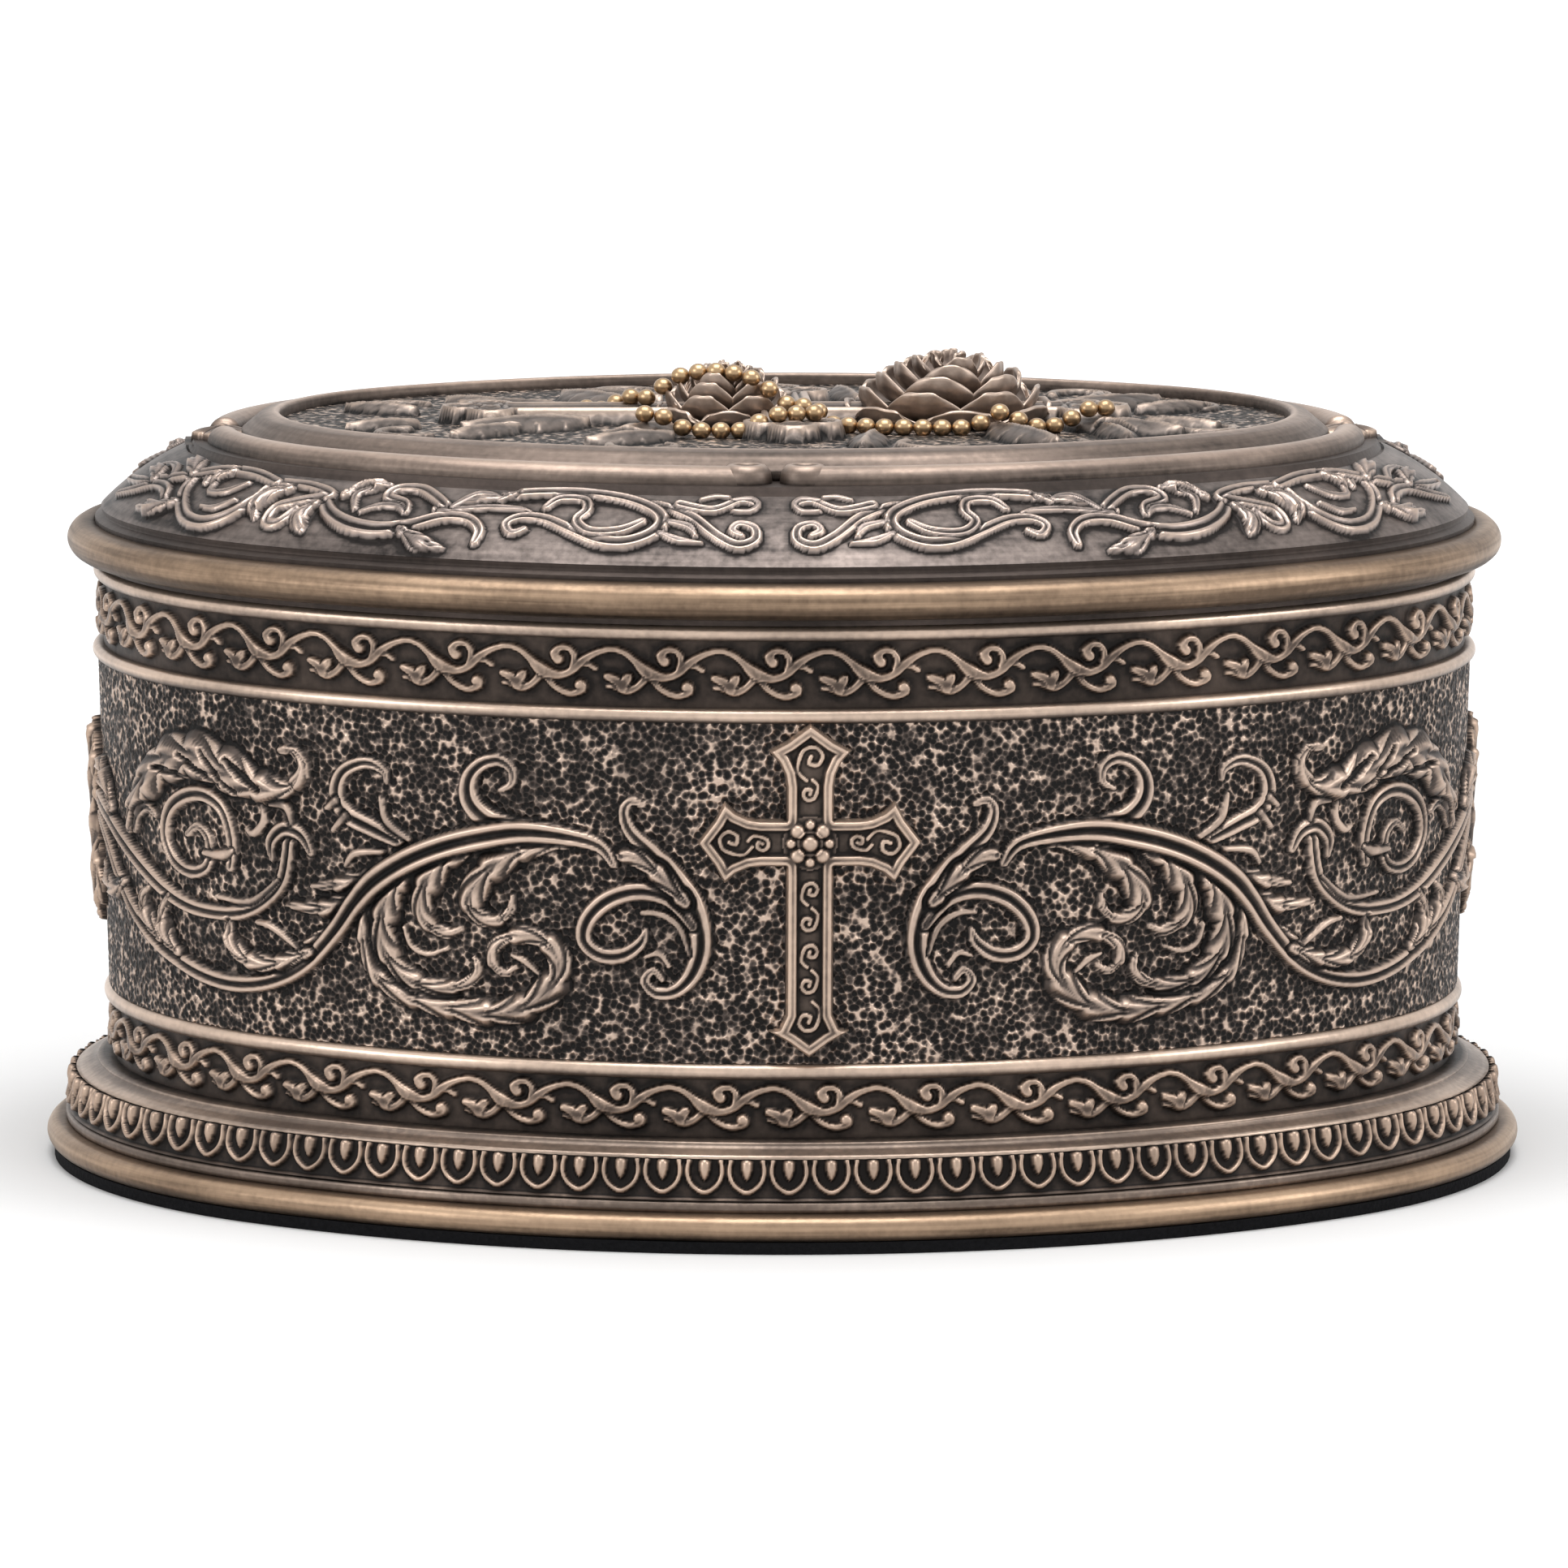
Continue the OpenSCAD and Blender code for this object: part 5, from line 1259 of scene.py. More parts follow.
SLOPE_SCROLL: list[Stroke] = [
    *strokes(Cut.STEM, 1.0,
             [(3, 3.6, 0.6), (3.8, 4.3, 0.7), (3.2, 5.2, 0.7), (1.9, 4.6, 0.8), (1.8, 3, 0.9), (3.2, 2.2, 1),
              (5, 3.4, 1), (7.4, 6, 1.1), (9.6, 7.4, 1), (11.4, 8.2, 0.8)],
             [(1.8, 8.2, 0.6), (3.2, 8.8, 0.8), (5.6, 7.2, 0.9), (8.6, 8, 1)],
             [(30.5, 6, 1), (27, 7.2, 1.2), (23.3, 9, 1.2), (18.3, 9.5, 1.2), (14, 8.8, 1.2), (11, 7.2, 1.2),
              (9.9, 5.4, 1.2), (10.6, 3.6, 1.2), (12.6, 2.4, 1.2), (15, 2.5, 1.2), (17.6, 3.8, 1.1),
              (20.2, 5.2, 1), (22.4, 5.4, 0.9), (23.6, 4.4, 0.8), (22.8, 3.2, 0.7), (21.8, 3.8, 0.6)],
             [(20.6, 7, 0.7), (19.6, 8.4, 0.9), (17.4, 8.4, 0.9), (16.8, 6.8, 0.9), (17.4, 5.2, 0.9),
              (16, 3.8, 0.9), (13.4, 4, 0.9), (11.6, 5.4, 0.7)],
             [(42.3, 6.4, 1), (40.6, 4.4, 1.3), (38, 3, 1.5), (35, 2.6, 1.5), (32.2, 3.4, 1.3),
              (29.6, 4.8, 1.2), (27.2, 4.8, 1), (25.8, 3.4, 0.9), (25.8, 1.8, 0.7)],
             [(29.6, 6.2, 1), (31.4, 7.8, 1.1), (33.4, 9, 1.1), (35.6, 8.8, 1), (36, 7.4, 1), (34, 6.6, 0.9),
              (33.4, 5.4, 0.7)],
             [(44.4, 4.6, 0.7), (45.2, 2.6, 0.9), (46.6, 2.6, 0.9), (46.6, 4.6, 0.9), (44.8, 5.6, 1),
              (42, 7, 1.1), (45, 8.2, 1), (49.4, 8.2, 1)],
             [(49.4, 8.2, 1), (49.8, 5.6, 1.1), (51, 3, 1.2), (53.4, 1.5, 1.3), (56.4, 1.8, 1.2),
              (59, 3.4, 1.1), (61, 5.4, 1), (61.6, 7.2, 0.9), (60, 7.8, 0.8), (59, 6.6, 0.6)],
             [(49.4, 8.2, 1), (53.5, 9.2, 1.1), (58.5, 9, 1.1), (62.5, 7.4, 1.1), (66.5, 5.8, 1.1),
              (71.5, 4.6, 1), (76.5, 4, 0.8)],
             [(62.4, 3, 0.7), (64, 4.6, 1), (67, 4.8, 1), (70.5, 3.4, 0.9), (74, 2.2, 0.7)]),
    *strokes(Cut.LEAF, 1.0,
             [(33, 2.8, 0.8), (30.8, 1.4, 1.5), (28.6, 0.9, 0.6)],
             [(40.5, 7.2, 0.8), (38.8, 8.8, 1.6), (36.8, 9.4, 0.6)],
             [(46.8, 7.4, 0.8), (48.4, 6.2, 1.7), (49, 4.4, 1.4), (48.2, 3, 0.5)],
             [(42.6, 5.6, 0.8), (43.4, 3.6, 1.5), (42.4, 1.8, 0.6)],
             [(56.8, 9, 0.8), (58, 7.8, 1.4), (57.8, 6.6, 0.5)],
             [(62.6, 7.4, 0.8), (65, 8.8, 1.6), (68, 9.3, 0.6)],
             [(68.5, 5.2, 0.8), (70.6, 6.4, 1.5), (73.6, 6.2, 0.5)],
             [(60, 3.4, 0.8), (62.6, 2.2, 1.5), (65.6, 1.8, 0.6)],
             [(24, 8.8, 0.7), (25.9, 7.6, 1.3), (28.8, 7.4, 0.6)]),
    *strokes(Cut.LINE, 0.9,
             [(6.8, 9, 0.5), (5.6, 9.6, 0.6), (4.3, 9.5, 0.5)],
             [(3.9, 9, 0.5), (2.3, 9.3, 0.6), (1.6, 8.3, 0.6), (2.3, 7.2, 0.6), (3.8, 7.2, 0.5)],
             [(30.3, 5.8, 0.6), (26.3, 6.6, 0.8), (23.3, 6.7, 0.7), (21.8, 6.3, 0.4)],
             [(37.8, 5, 0.5), (36.3, 6, 0.8), (34.6, 6.1, 0.7), (33.6, 5.2, 0.4)],
             [(29.3, 6.5, 0.6), (27.8, 8.6, 0.8), (26.3, 8.8, 0.7), (25.3, 8.4, 0.4)],
             [(9.2, 5.4, 0.7), (7.6, 4.8, 0.8), (6.9, 3.6, 0.5)],
             [(10, 3.9, 0.6), (8.4, 3, 0.8), (6.3, 2.6, 0.4)],
             [(53, 7.6, 0.6), (54.6, 6, 0.8), (56.8, 5.6, 0.7), (57.6, 6.8, 0.5)],
             [(52.4, 5, 0.5), (54, 3.6, 0.7), (56, 3.6, 0.4)],
             [(66.5, 6.6, 0.6), (69, 7.8, 0.8), (72, 7.6, 0.6), (73.4, 6.6, 0.4)],
             [(38.6, 5.4, 0.6), (39.4, 7.4, 0.8), (38.4, 8.6, 0.5)])
]


@dataclass
class LidEdge:
    """The lid's round rim and its slope with the scrolls."""

    dresser: Dresser
    step: float = 0.16
    rim_back: float = 0.1
    plain_wear: float = 0.42

    def build_rim(self) -> None:
        """Builds the gold-bronze round rim, with painted shade on its underside."""
        z, r = AT.rim_z, AT.rim_round
        corners = [*half_round(AT.rim_in, z, r, 20), (self.rim_back, z + r, 0.2), (self.rim_back, z - r, 0.1)]
        profile, wear = closed_profile(corners, 1)
        # Painted shade: below nine tenths of its radius the rim gets no wear, so its underside is painted
        # dark as the shadow under the rim; the rest of the rim's wear is cut to eight tenths.
        wear = np.where(profile[:, 1] < z - 0.9 * r, 0.0, 0.8 * wear)
        self.dresser.hand_over(ring("rim_round", profile, wear, 0.04), "lid", GOLD, "lid_rim")

    def quarter(self, far: float) -> Relief:
        """Draws the scroll of one quarter of the slope.

        Args:
            far: Place along at which the quarter ends.

        Returns:
            The relief, its place up in millimetres along the slope.
        """
        length = math.hypot(AT.slope_rise, AT.slope_run)
        relief = Relief(0, far, 0, length, self.step)
        for stroke in SLOPE_SCROLL:
            bolder = 1.2 if stroke.cut is Cut.STEM else 1.05
            path = tuple((u, t * length / 10, w * bolder) for u, t, w in stroke.path)
            cut = Cut.STEM if stroke.cut is Cut.LINE and max(w for _, _, w in path) > 0.6 else stroke.cut
            relief.draw(Stroke(path, cut, stroke.lift), 0.72)
        return relief

    def build_slope(self) -> None:
        """Builds the four quarters of the slope."""
        length, shift = math.hypot(AT.slope_rise, AT.slope_run), AT.lid_shift
        for hand, side in ((1, "right"), (-1, "left")):
            relief = self.quarter(OVAL.half_run / 2 - hand * shift)
            order, wear = slice(None, None, hand), relief.wear(0.88, 0.6)
            wear = np.where(relief.drawn, wear, np.clip(wear, 0.0, self.plain_wear))
            lift = relief.height[:, order] + 0.04
            off, z = AT.slope(10 * relief.v[:, None] / length, lift)
            x, y = OVAL.spot((hand * relief.u[order] + shift)[None, :] + 0 * lift, off)
            points = np.stack([x, y, z], axis=-1)
            for face, node in (("front", f"lid_scroll_{side}"),
                               ("back", f"lid_scroll_back_{other_side(side)}")):
                piece = sheet(f"slope_{face}_{side}", points if face == "front" else turned(points),
                              wear[:, order])
                # The slope gets the lighter bronze, whose extra brightness is painted sheen.
                self.dresser.hand_over(piece, "lid", SLOPE, node)

    def build(self) -> None:
        """Builds the rim and the slope."""
        self.build_rim()
        self.build_slope()
        self.dresser.dress_node("lid_shell", CAST)


@dataclass(frozen=True)
class Bloom:
    """One bloom: its place along the lid, radius, height over the ground and first turn."""

    name: str
    node: str
    x: float
    r: float
    h: float
    turn: float


@dataclass(frozen=True)
class PetalRing:
    """One ring of petals: its count, then the foot, swell and lip of a petal and its width.

    Foot, swell and lip are each a distance from the middle and a height, in shares of the bloom's radius
    and height, and the width is a share of the radius.
    """

    count: int
    foot: tuple[float, float]
    swell: tuple[float, float]
    lip: tuple[float, float]
    wide: float


PETAL_RINGS: tuple[PetalRing, ...] = (
    PetalRing(7, (0.72, 0.0), (1.04, 0.06), (0.96, 0.3), 0.98),
    PetalRing(7, (0.58, 0.05), (0.95, 0.22), (0.83, 0.54), 0.84),
    PetalRing(6, (0.42, 0.2), (0.8, 0.42), (0.66, 0.74), 0.76),
    PetalRing(5, (0.3, 0.35), (0.62, 0.6), (0.48, 0.88), 0.64),
    PetalRing(4, (0.16, 0.5), (0.43, 0.75), (0.31, 0.96), 0.48),
    PetalRing(3, (0.06, 0.6), (0.22, 0.85), (0.14, 1.0), 0.28))


@dataclass
class LidTop:
    """The frame moulding, the raised rim and the relief on the pebbled ground.

    Leaves are marked by place and direction in degrees, side leaves by their length too, and tendrils by
    their centre, radius, first angle and turn. Side leaves and tendrils lie on both sides of the cross.
    """

    dresser: Dresser
    step: float = 0.23
    flower_step: float = 0.1
    strip_parts: int = 160
    curl_parts: int = 65
    curl: float = 2.1
    eye: float = 0.85
    curl_gap: float = 0.75
    flower_gap: float = 3.4
    bar_long: float = 30.0
    bar_short: float = 17.0
    bar_half: float = 2.6
    bud: float = 2.3
    bar_thick: float = 1.3
    leaf_long: float = 12.0
    leaf_tall: float = 1.5
    side_leaf_tall: float = 1.2
    over_leaf: float = 1.3
    pebble: float = 0.85
    pebble_tall: float = 0.1
    pebble_stretch: float = 1.2
    pebble_seed: int = 23
    petal_thick: float = 0.4
    bead: float = 0.8
    bead_pitch: float = 1.64
    bead_scale: Place = (1.04, 0.94, 0.92)
    bead_wear: float = 0.72
    blooms: tuple[Bloom, ...] = (Bloom("bloom_large", "large_bloom", 14.0, 9.0, 6.4, 0.3),
                                 Bloom("bloom_small", "small_bloom", -5.0, 6.2, 5.5, 1.1))
    leaves: tuple[Knot, ...] = ((-17, 4.5, 160), (-17, -4.5, 200), (-12, 7.5, 125), (-10, -8, 235),
                                (23, 6, 30), (23, -6, -30), (17, 9.5, 65), (17, -9.5, -65))
    side_leaves: tuple[tuple[float, float, float, float], ...] = (
        (-10, 14, 150, 9), (7, 13, 100, 9), (26.5, 8.5, 75, 8), (-23, 8.5, 140, 8), (30.5, 5, 25, 7),
        (-31.5, 5, 155, 7))
    tendrils: tuple[tuple[float, float, float, float, float], ...] = (
        (-32.5, 10.5, 2.6, 40, 230), (-13, 21, 2.8, -40, 230), (11.5, 20, 2.8, 0, 220),
        (35.5, 8.6, 2.4, -60, 230), (26.8, 18.2, 2.6, -20, 200))
    strings: tuple[tuple[tuple[float, float], ...], ...] = (
        ((-17, 5), (-11.5, 0.5), (-5, -2.6), (1, -5.6), (6, -9.6), (13, -11), (20.5, -10.2), (27, -7.6)),
        ((3.4, -10.6), (-1, -12.2), (-7, -12.8), (-13, -11.4)))

    def build_frames(self) -> None:
        """Builds the four half-round strips with their curled ends."""
        for hand, side in ((1, "right"), (-1, "left")):
            start = self.curl_gap + self.curl + hand * AT.lid_shift
            strip, wear = self.frame_strip(hand, start)
            knob, shine = self.frame_curl(hand * start)
            for face, other in (("front", side), ("back", other_side(side))):
                way = turned if face == "back" else np.asarray
                name = f"frame_strip_{face}_{other}"
                parts = (sheet(name, way(strip), wear), sheet("curl", way(knob), shine, merge=True))
                self.dresser.hand_over(joined(parts, name), "lid", FRAME, f"frame_{face}_{other}")

    def frame_strip(self, hand: int, start: float) -> tuple[np.ndarray, np.ndarray]:
        """Shapes one half-round strip, which tapers before the end flower.

        Args:
            hand: 1 to the right, -1 to the left.
            start: Distance of its curled end from the middle.

        Returns:
            The points and their wear.
        """
        r, stop = AT.frame_round, OVAL.half_run / 2 - self.flower_gap
        reach = np.linspace(start, stop, self.strip_parts)[::hand]
        angles = np.radians(np.linspace(0, 180, 21))
        end = np.clip((stop - reach) / 1.2, 0, 1)
        taper = np.sqrt(1 - (1 - end) ** 2) * 0.98 + 0.02
        off = AT.frame_middle + r * np.cos(angles)[:, None] * taper[None, :]
        lift = r * np.sin(angles)[:, None] * taper[None, :]
        x, y = OVAL.spot((hand * reach)[None, :] + 0 * off, off)
        wear = np.repeat((0.3 + 0.55 * np.sin(angles) ** 2)[:, None], self.strip_parts, axis=1)
        return np.stack([x, y, AT.plate_top + lift], axis=-1), wear

    def frame_curl(self, run: float) -> tuple[np.ndarray, np.ndarray]:
        """Shapes one curled end, a round knob with a sunk eye.

        Args:
            run: Its run along the oval.

        Returns:
            The points and their wear.
        """
        curl, eye = self.curl, self.eye
        cx, cy = OVAL.spot(np.array([run]), np.array([AT.frame_middle + AT.frame_round + 0.12 - curl]))
        around = np.linspace(0, 2 * math.pi, self.curl_parts)
        rings = np.array([(0.02, 0.4, 0.0), (0.3, 0.42, 0.0), (eye - 0.12, 0.5, 0.0), (eye, 1.2, 0.05),
                          (eye + 0.15, 1.44, 0.6), (1.2, 1.57, 0.85), (1.5, 1.5, 0.8), (1.75, 1.3, 0.7),
                          (1.95, 1.0, 0.55), (2.06, 0.6, 0.4), (curl, 0.25, 0.3), (curl, -0.1, 0.1)])[::-1]
        radii, rise, shine = rings.T[:, :, None]
        knob = np.stack([cx + radii * np.cos(around), cy + radii * np.sin(around),
                         AT.plate_top + rise + 0 * around], axis=-1)
        knob[:, -1] = knob[:, 0]
        return knob, np.repeat(shine, self.curl_parts, axis=1)

    def build_flowers(self) -> None:
        """Builds the small flower at each end."""
        relief = Relief(-3.2, 3.2, -3.2, 3.2, self.flower_step)
        u, v = relief.u[None, :], relief.v[:, None]
        r, a = np.hypot(u, v), np.arctan2(v, u)
        petal = 2.65 * (0.72 + 0.28 * np.abs(np.cos(2.5 * a)) ** 0.7)
        crease = 0.8 + 0.2 * np.abs(np.cos(2.5 * a))
        lift = 1.05 * np.sqrt(np.clip(1 - ((r - 0.3) / petal) ** 2, 0, 1)) * crease
        hub = 1.3 * np.sqrt(np.clip(1 - (r / 0.95) ** 2, 0, 1))
        relief.height = np.where(r < petal, np.maximum(lift, hub), -0.2)
        wear = relief.wear(0.95, 0.7)
        x0 = OVAL.length / 2 + AT.frame_middle
        points = np.stack([x0 + u + 0 * v, v + 0 * u, AT.plate_top + relief.height], axis=-1)
        for side in ("right", "left"):
            piece = sheet(f"flower_{side}", points if side == "right" else turned(points), wear)
            self.dresser.hand_over(piece, "lid", PALE, f"end_flower_{side}")

    def build_rim(self) -> None:
        """Builds the raised rim round the recess."""
        out, edge, top, low = AT.recess_out, AT.recess_edge, AT.rim_crest, AT.plate_top
        corners = [(out, low, 0.1), (out, low + 0.8, 0.25), (out - 0.25, low + 1.0, 0.4),
                   (out - 1.6, top - 0.28, 0.45), (edge + 0.75, top - 0.06, 0.62), (edge + 0.4, top, 0.85),
                   (edge + 0.12, top - 0.08, 0.7), (edge, top - 0.3, 0.4), (edge, low, 0.0)]
        profile, wear = closed_profile(corners, 3)
        self.dresser.hand_over(ring("recess_rim", profile, wear, 0.05), "lid", FRAME, "recess_rim_ring")

    def cross_depth(self, x: np.ndarray, y: np.ndarray) -> np.ndarray:
        """Measures how far places lie inside the budded cross."""
        tip = 2 * self.bud
        long, short = self.bar_long - tip, self.bar_short - tip
        depth = np.minimum(long - np.abs(x), self.bar_half - np.abs(y))
        depth = np.maximum(depth, np.minimum(short - np.abs(y), self.bar_half - np.abs(x)))
        step = self.bud * 0.95
        for cx, cy in ((long + step, 0), (long, step), (long, -step)):
            depth = np.maximum(depth, self.bud - np.hypot(np.abs(x) - cx, y - cy))
        for cx, cy in ((0, short + step), (step, short), (-step, short)):
            depth = np.maximum(depth, self.bud - np.hypot(x - cx, np.abs(y) - cy))
        return depth

    def build_relief(self) -> None:
        """Builds the pebbled ground with the cross, the leaves and the tendrils."""
        wide, deep = OVAL.length / 2 + AT.recess_edge + 0.3, OVAL.width / 2 + AT.recess_edge + 0.3
        relief = Relief(-wide, wide, -deep, deep, self.step)
        x, y = relief.u[None, :], relief.v[:, None]
        depth = self.cross_depth(x, y)
        body = np.clip(depth / 0.3, 0, 1) ** 0.5 * (self.bar_thick - 0.1)
        body += 0.35 * ridge(depth, 0.5, 0.42) + 0.22 * ridge(depth, 1.35, 0.3)
        relief.height = np.where(depth > 0, body, 0)
        relief.drawn |= depth > -0.2
        for px, py, way in self.leaves:
            self.leaf(relief, px, py, math.radians(way), self.leaf_long, 5.0, self.leaf_tall)
        for side in (1, -1):
            for px, py, way, long in self.side_leaves:
                self.leaf(relief, px, side * py, side * math.radians(way), long, 0.4 * long,
                          self.side_leaf_tall)
            for px, py, r, first, turn in self.tendrils:
                angles = np.radians(np.linspace(first, first + turn, 9))
                path = tuple((px + r * math.cos(a), side * (py + r * math.sin(a)), 0.7 + 0.4 * k / 8)
                             for k, a in enumerate(angles))
                relief.draw(Stroke(path, Cut.LINE, 0.8))
        bare = blur((~relief.drawn).astype(float), 1)
        relief.pebbles(self.pebble, self.pebble_tall, self.pebble_seed, self.pebble_stretch)
        wear = np.minimum(relief.wear(0.8, 1.1), 0.86)
        points = np.stack([x + 0 * y, y + 0 * x, AT.ground + relief.height], axis=-1)
        piece = sheet("lid_relief", points, wear, ground=bare)
        outside = (self.edge_gap(x, y) > 0.25).ravel()
        bpy.ops.object.mode_set(mode="EDIT")
        bpy.ops.mesh.select_all(action="DESELECT")
        bpy.ops.object.mode_set(mode="OBJECT")
        piece.data.vertices.foreach_set("select", outside)
        bpy.ops.object.mode_set(mode="EDIT")
        bpy.ops.mesh.delete(type="VERT")
        bpy.ops.object.mode_set(mode="OBJECT")
        self.dresser.hand_over(piece, "lid", GROUND, "recess_ground", "lid_cross", "lid_leaves")

    def edge_gap(self, x: np.ndarray, y: np.ndarray) -> np.ndarray:
        """Measures how far places lie outside the recess's edge."""
        ax, ay = np.abs(x), np.abs(y)
        end = np.hypot(ax - OVAL.end_centre, ay) - OVAL.end_radius
        long = np.hypot(ax, ay + OVAL.long_centre) - OVAL.long_radius
        on_end = (ax - OVAL.end_centre) * 0.8 > ay * 0.6
        return np.where(on_end, end, long) - AT.recess_edge

    def leaf(self, relief: Relief, x: float, y: float, way: float, long: float, wide: float,
             tall: float) -> None:
        """Lays one ribbed leaf on the ground.

        Args:
            relief: The relief that it is drawn on.
            x: Place of its stalk along the lid.
            y: Place of its stalk across the lid.
            way: The way that it points, in radians.
            long: Its length.
            wide: Its width.
            tall: Its height.
        """
        px, py = relief.u[None, :] - x, relief.v[:, None] - y
        a = (px * math.cos(way) + py * math.sin(way)) / long
        b = py * math.cos(way) - px * math.sin(way)
        inner = (a > 0) & (a < 1)
        lobes = 0.94 + 0.12 * ((a * 4.5 - 0.1) % 1.0)
        half = wide / 2 * np.sqrt(np.clip(4 * a * (1 - a), 0, 1)) ** 1.3 * lobes
        q = np.abs(b) / np.maximum(half, 0.05)
        inside = inner & (q < 1)
        veins = 0.07 * np.sin(math.pi * ((a * 4.5 - 0.9 * q) % 1.0)) ** 0.7
        rib = 0.24 * np.exp(-(b / 0.3) ** 2)
        swell = 0.7 + 0.3 * np.sin(math.pi * a.clip(0, 1))
        rise = tall * ((1 - q ** 2).clip(0, 1) ** 0.7) * (0.72 + veins) * swell + rib
        relief.height = np.where(inside, np.maximum(rise, relief.height * 0.6), relief.height)
        relief.drawn |= inner & (q < 1.12)

    def petal(self, bloom: Bloom, shape: PetalRing, turn: float) -> bpy.types.Object:
        """Shapes one petal that stands cupped round the bloom's middle, with a rolled lip.

        Args:
            bloom: The bloom that it belongs to.
            shape: The ring that it stands in.
            turn: Its place round the bloom.

        Returns:
            The petal, still a thin sheet.
        """
        r, h = bloom.r, bloom.h - 0.3
        a, b = np.linspace(0, 1, 12)[:, None], np.linspace(-1, 1, 15)[None, :]
        far, up = ((1 - a) ** 2 * foot + 2 * a * (1 - a) * swell + a ** 2 * lip
                   for foot, swell, lip in zip(shape.foot, shape.swell, shape.lip))
        rounding = 1 - 0.3 * np.clip((a - 0.7) / 0.3, 0, 1) ** 2.2
        half = shape.wide / 2 * (0.62 + 0.38 * np.sin(0.62 * math.pi * a)) * rounding
        far = far + 0.045 * a ** 7 - 0.05 * b ** 4 * a + 0.008 * np.sin(3 * math.pi * b + 5 * turn) * a ** 3
        up = up - (0.02 * b ** 2 + 0.15 * b ** 4) * a + 0.008 * np.sin(2.5 * math.pi * b + 7 * turn) * a ** 3
        angle = turn + b * half / np.maximum(far, 0.12)
        points = np.stack([far * r * np.cos(angle), far * r * np.sin(angle), up * h + 0 * b], axis=-1)
        vein = 0.06 * np.cos(11 * b) * np.sin(math.pi * a)
        wear = 0.34 + 0.2 * np.sin(math.pi * a) + 0.42 * a ** 5 + 0.2 * b ** 6 * a + vein
        return sheet("petal", points + np.array([bloom.x, 0, AT.ground]), np.clip(wear, 0, 1))

    def build_bloom(self, bloom: Bloom) -> None:
        """Builds one bloom from rings of petals that close over each other to a dome.

        Args:
            bloom: Its sizes.
        """
        petals = [self.petal(bloom, row, bloom.turn + 2 * math.pi * (i + 0.5 * (level % 2)) / row.count)
                  for level, row in enumerate(PETAL_RINGS) for i in range(row.count)]
        whole = joined(petals, bloom.name)
        thick = whole.modifiers.new("thick", "SOLIDIFY")
        thick.thickness, thick.offset = self.petal_thick * MM, -1
        smooth = whole.modifiers.new("smooth", "SUBSURF")
        smooth.levels = smooth.render_levels = 1
        for modifier in ("thick", "smooth"):
            bpy.ops.object.modifier_apply(modifier=modifier)
        bpy.ops.object.shade_smooth()
        self.dresser.hand_over(whole, "lid", PETAL, bloom.node)

    def lie_height(self, x: float, y: float) -> float:
        """Finds how high a bead lies over the ground.

        Args:
            x: Its place along the lid.
            y: Its place across the lid.

        Returns:
            The height of what is under it.
        """
        for bloom in self.blooms:
            far = math.hypot(x - bloom.x, y) / bloom.r
            if far < 1:
                return self.bar_thick + (bloom.h - self.bar_thick) * 0.68 * math.sqrt(1 - far ** 2)
        for px, py, way in self.leaves:
            c, s = math.cos(math.radians(way)), math.sin(math.radians(way))
            share, off = ((x - px) * c + (y - py) * s) / self.leaf_long, abs((y - py) * c - (x - px) * s)
            if 0 < share < 1 and off < 10 * share * (1 - share) + 0.3:
                return self.over_leaf
        return self.bar_thick if min(abs(x), abs(y)) < self.bar_half + 0.3 else 0.0

    def build_beads(self) -> None:
        """Builds the strings of oval beads."""
        places = []
        for knots in self.strings:
            path = Stroke(tuple((a, b, 1.0) for a, b in knots)).smooth(0.2)[:, :2]
            lift = np.array([self.lie_height(a, b) for a, b in path])
            lift = np.convolve(np.pad(lift, 5, mode="edge"), np.ones(11) / 11, mode="valid")
            way = np.concatenate([[0], np.cumsum(np.hypot(*np.diff(path, axis=0).T))])
            for mark in np.arange(0, way[-1], self.bead_pitch):
                x, y, up = (np.interp(mark, way, values) for values in (path[:, 0], path[:, 1], lift))
                dx, dy = (np.interp(mark + 0.4, way, path[:, k]) - np.interp(mark - 0.4, way, path[:, k])
                          for k in (0, 1))
                places.append((x, y, up, dx, dy))
        beads = []
        for x, y, lift, dx, dy in places:
            bpy.ops.object.select_all(action="DESELECT")
            bpy.ops.mesh.primitive_uv_sphere_add(segments=16, ring_count=10, radius=self.bead * MM)
            one = bpy.context.object
            one.scale = self.bead_scale
            one.rotation_euler = (0, 0, math.atan2(dy, dx))
            one.location = (x * MM, y * MM, (AT.ground + lift + self.bead - 0.1) * MM)
            bpy.ops.object.transform_apply(location=True, rotation=True, scale=True)
            beads.append(one)
        string = joined(beads, "bead_strings")
        layer = string.data.attributes.new("wear", "FLOAT", "POINT")
        layer.data.foreach_set("value", np.full(len(string.data.vertices), self.bead_wear, np.float32))
        bpy.ops.object.shade_smooth()
        self.dresser.hand_over(string, "lid", BEADS, "bead_string")

    def build(self) -> None:
        """Builds the whole top."""
        self.build_frames()
        self.build_flowers()
        self.build_rim()
        self.build_relief()
        for bloom in self.blooms:
            self.build_bloom(bloom)
        self.build_beads()
        self.dresser.dress_node("lid_plate", CAST)


# The studio


@dataclass(frozen=True)
class Lamp:
    """A soft square lamp: place and aim in metres, size and power."""

    name: str
    place: Place
    aim: Place
    size: float
    power: float

    def add(self) -> None:
        """Hangs the lamp."""
        data = bpy.data.lights.new(self.name, "AREA")
        data.shape, data.size, data.energy = "SQUARE", self.size, self.power
        lamp = bpy.data.objects.new(self.name, data)
        bpy.context.scene.collection.objects.link(lamp)
        lamp.location = self.place
        lamp.rotation_euler = look(*[a - b for a, b in zip(self.aim, self.place)])


def look(x: float, y: float, z: float) -> Place:
    """Finds the turns that point a lamp or camera along a direction.

    Args:
        x: Its x part.
        y: Its y part.
        z: Its z part.

    Returns:
        The three turns in radians.
    """
    return (math.atan2(math.hypot(x, y), -z), 0.0, math.atan2(-x, y))


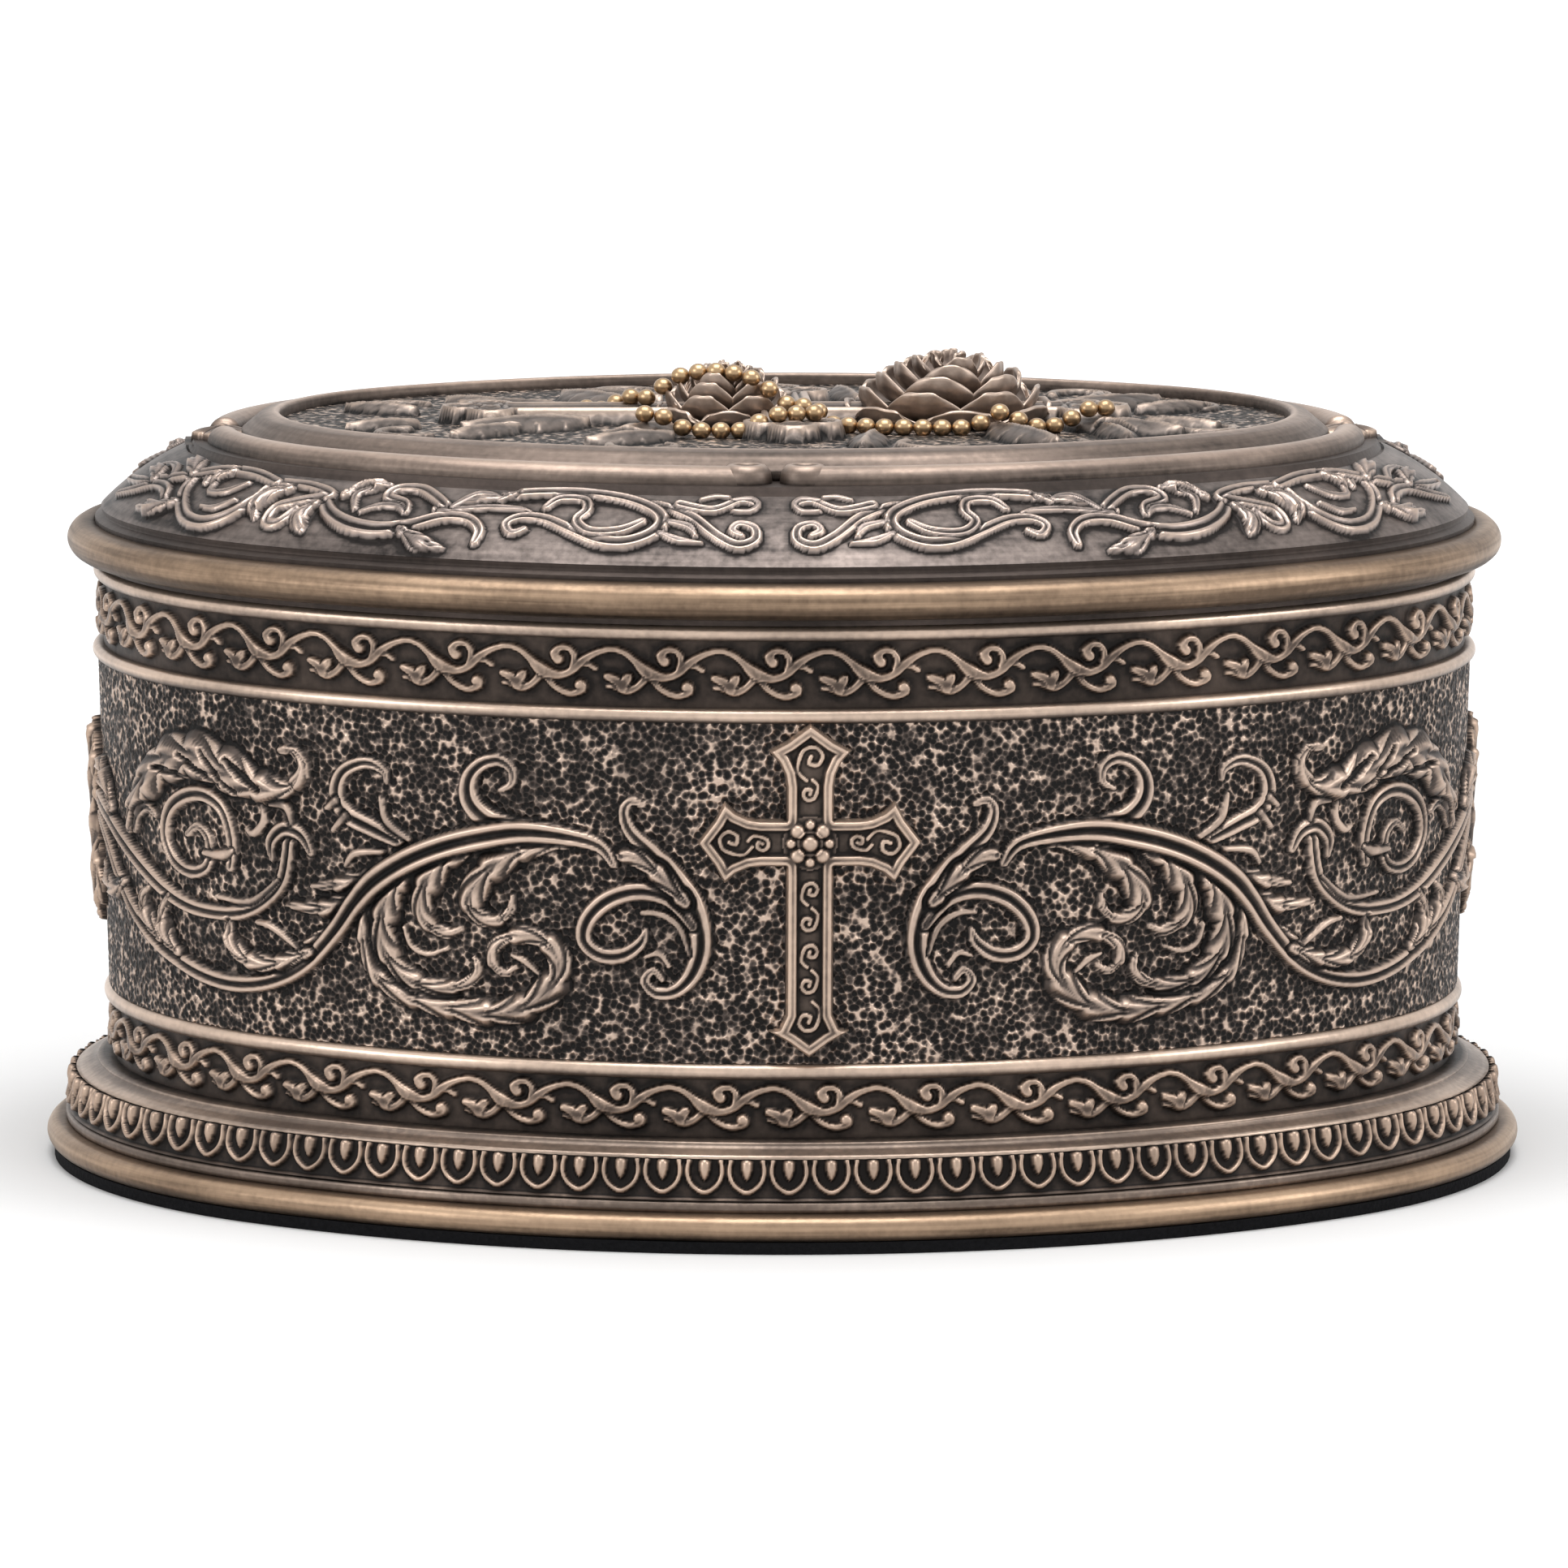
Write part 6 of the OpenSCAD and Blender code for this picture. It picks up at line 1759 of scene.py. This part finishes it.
@dataclass
class Studio:
    """The pale floor, the lamps and the camera; the focal length is in pixels of the photograph."""

    distance: float = 0.871
    elevation: float = 8.53
    yaw: float = 2.66
    roll: float = 0.19
    focal: float = 12405.0
    pixels: int = 1932
    sensor: float = 36.0
    target: Place = (0.0, 0.0, 0.03)
    target_pixel: tuple[float, float] = (966.6, 991.6)
    floor_side: float = 14.0
    floor_colour: Colour = (0.86, 0.86, 0.86)
    floor_glow: tuple[float, float, float, float] = (0.12, 0.9, 0.0, 0.9)
    world_light: tuple[float, float, float, float] = (0.0, 1.0, 0.4, 1.0)
    lamps: tuple[Lamp, ...] = (
        Lamp("over", (0.0, -0.1, 0.8), (0, 0, 0.04), 0.6, 6.0),
        Lamp("left", (-0.8, -0.5, 0.4), (0, 0, 0.04), 0.4, 2.2),
        Lamp("right", (0.85, -0.35, 0.45), (0, 0, 0.04), 0.4, 2.2))

    def build_camera(self) -> None:
        """Sets the camera to the photograph's view."""
        up, side, pixels = math.radians(self.elevation), math.radians(self.yaw), self.pixels
        data = bpy.data.cameras.new("camera")
        data.sensor_width, data.lens = self.sensor, self.focal * self.sensor / pixels
        data.shift_x = (pixels / 2 - self.target_pixel[0]) / pixels
        data.shift_y = (self.target_pixel[1] - pixels / 2) / pixels
        data.clip_start, data.clip_end = 0.01, 20.0
        camera = bpy.data.objects.new("camera", data)
        bpy.context.scene.collection.objects.link(camera)
        away = (-math.sin(side) * math.cos(up), -math.cos(side) * math.cos(up), math.sin(up))
        camera.location = [t + self.distance * a for t, a in zip(self.target, away)]
        camera.rotation_mode = "XYZ"
        camera.rotation_euler = look(*[-a for a in away])
        bpy.context.view_layer.update()
        roll = mathutils.Matrix.Rotation(math.radians(self.roll), 3, "Z")
        camera.rotation_euler = (camera.rotation_euler.to_matrix() @ roll).to_euler()
        bpy.context.scene.camera = camera

    def build_floor(self) -> None:
        """Lays the pale floor, which keeps the box's shadow."""
        bpy.ops.object.select_all(action="DESELECT")
        bpy.ops.mesh.primitive_plane_add(size=self.floor_side)
        floor = bpy.context.object
        floor.name = "floor"
        mat, wiring, shader = new_material("pale_floor")
        far = wiring.add("ShaderNodeVectorMath", {0: wiring.place})
        far.operation = "LENGTH"
        glow = wiring.spread(far.outputs["Value"], self.floor_glow)
        wiring.feed(shader, {
            "Base Color": (*self.floor_colour, 1), "Roughness": 0.9, "Specular IOR Level": 0.1,
            "Emission Color": (1, 1, 1, 1),
            "Emission Strength": wiring.math("MULTIPLY", wiring.straight_rays(), glow)})
        floor.data.materials.append(mat)

    def build_world(self) -> None:
        """Sets the world: white to the camera and to glossy rays, softer as light."""
        world = bpy.data.worlds.new("studio")
        bpy.context.scene.world = world
        world.use_nodes = True
        wiring = Wiring(world.node_tree)
        power = wiring.spread(wiring.straight_rays(), self.world_light)
        wiring.feed(world.node_tree.nodes["Background"], {"Color": (1, 1, 1, 1), "Strength": power})

    def build(self) -> None:
        """Builds the floor, the world, the lamps and the camera."""
        self.build_floor()
        self.build_world()
        for lamp in self.lamps:
            lamp.add()
        self.build_camera()
        bpy.context.scene.view_settings.view_transform = "Standard"


def main() -> None:
    """Builds the sub-assemblies in order."""
    logging.basicConfig(level=logging.INFO, format="%(name)s: %(message)s")
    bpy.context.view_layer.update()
    dresser = Dresser()
    for assembly in (WallField(dresser), Bands(dresser), Foot(dresser), LidEdge(dresser), LidTop(dresser),
                     Studio()):
        assembly.build()
        LOG.info("%s is done", type(assembly).__name__)


if __name__ == "__main__":
    main()
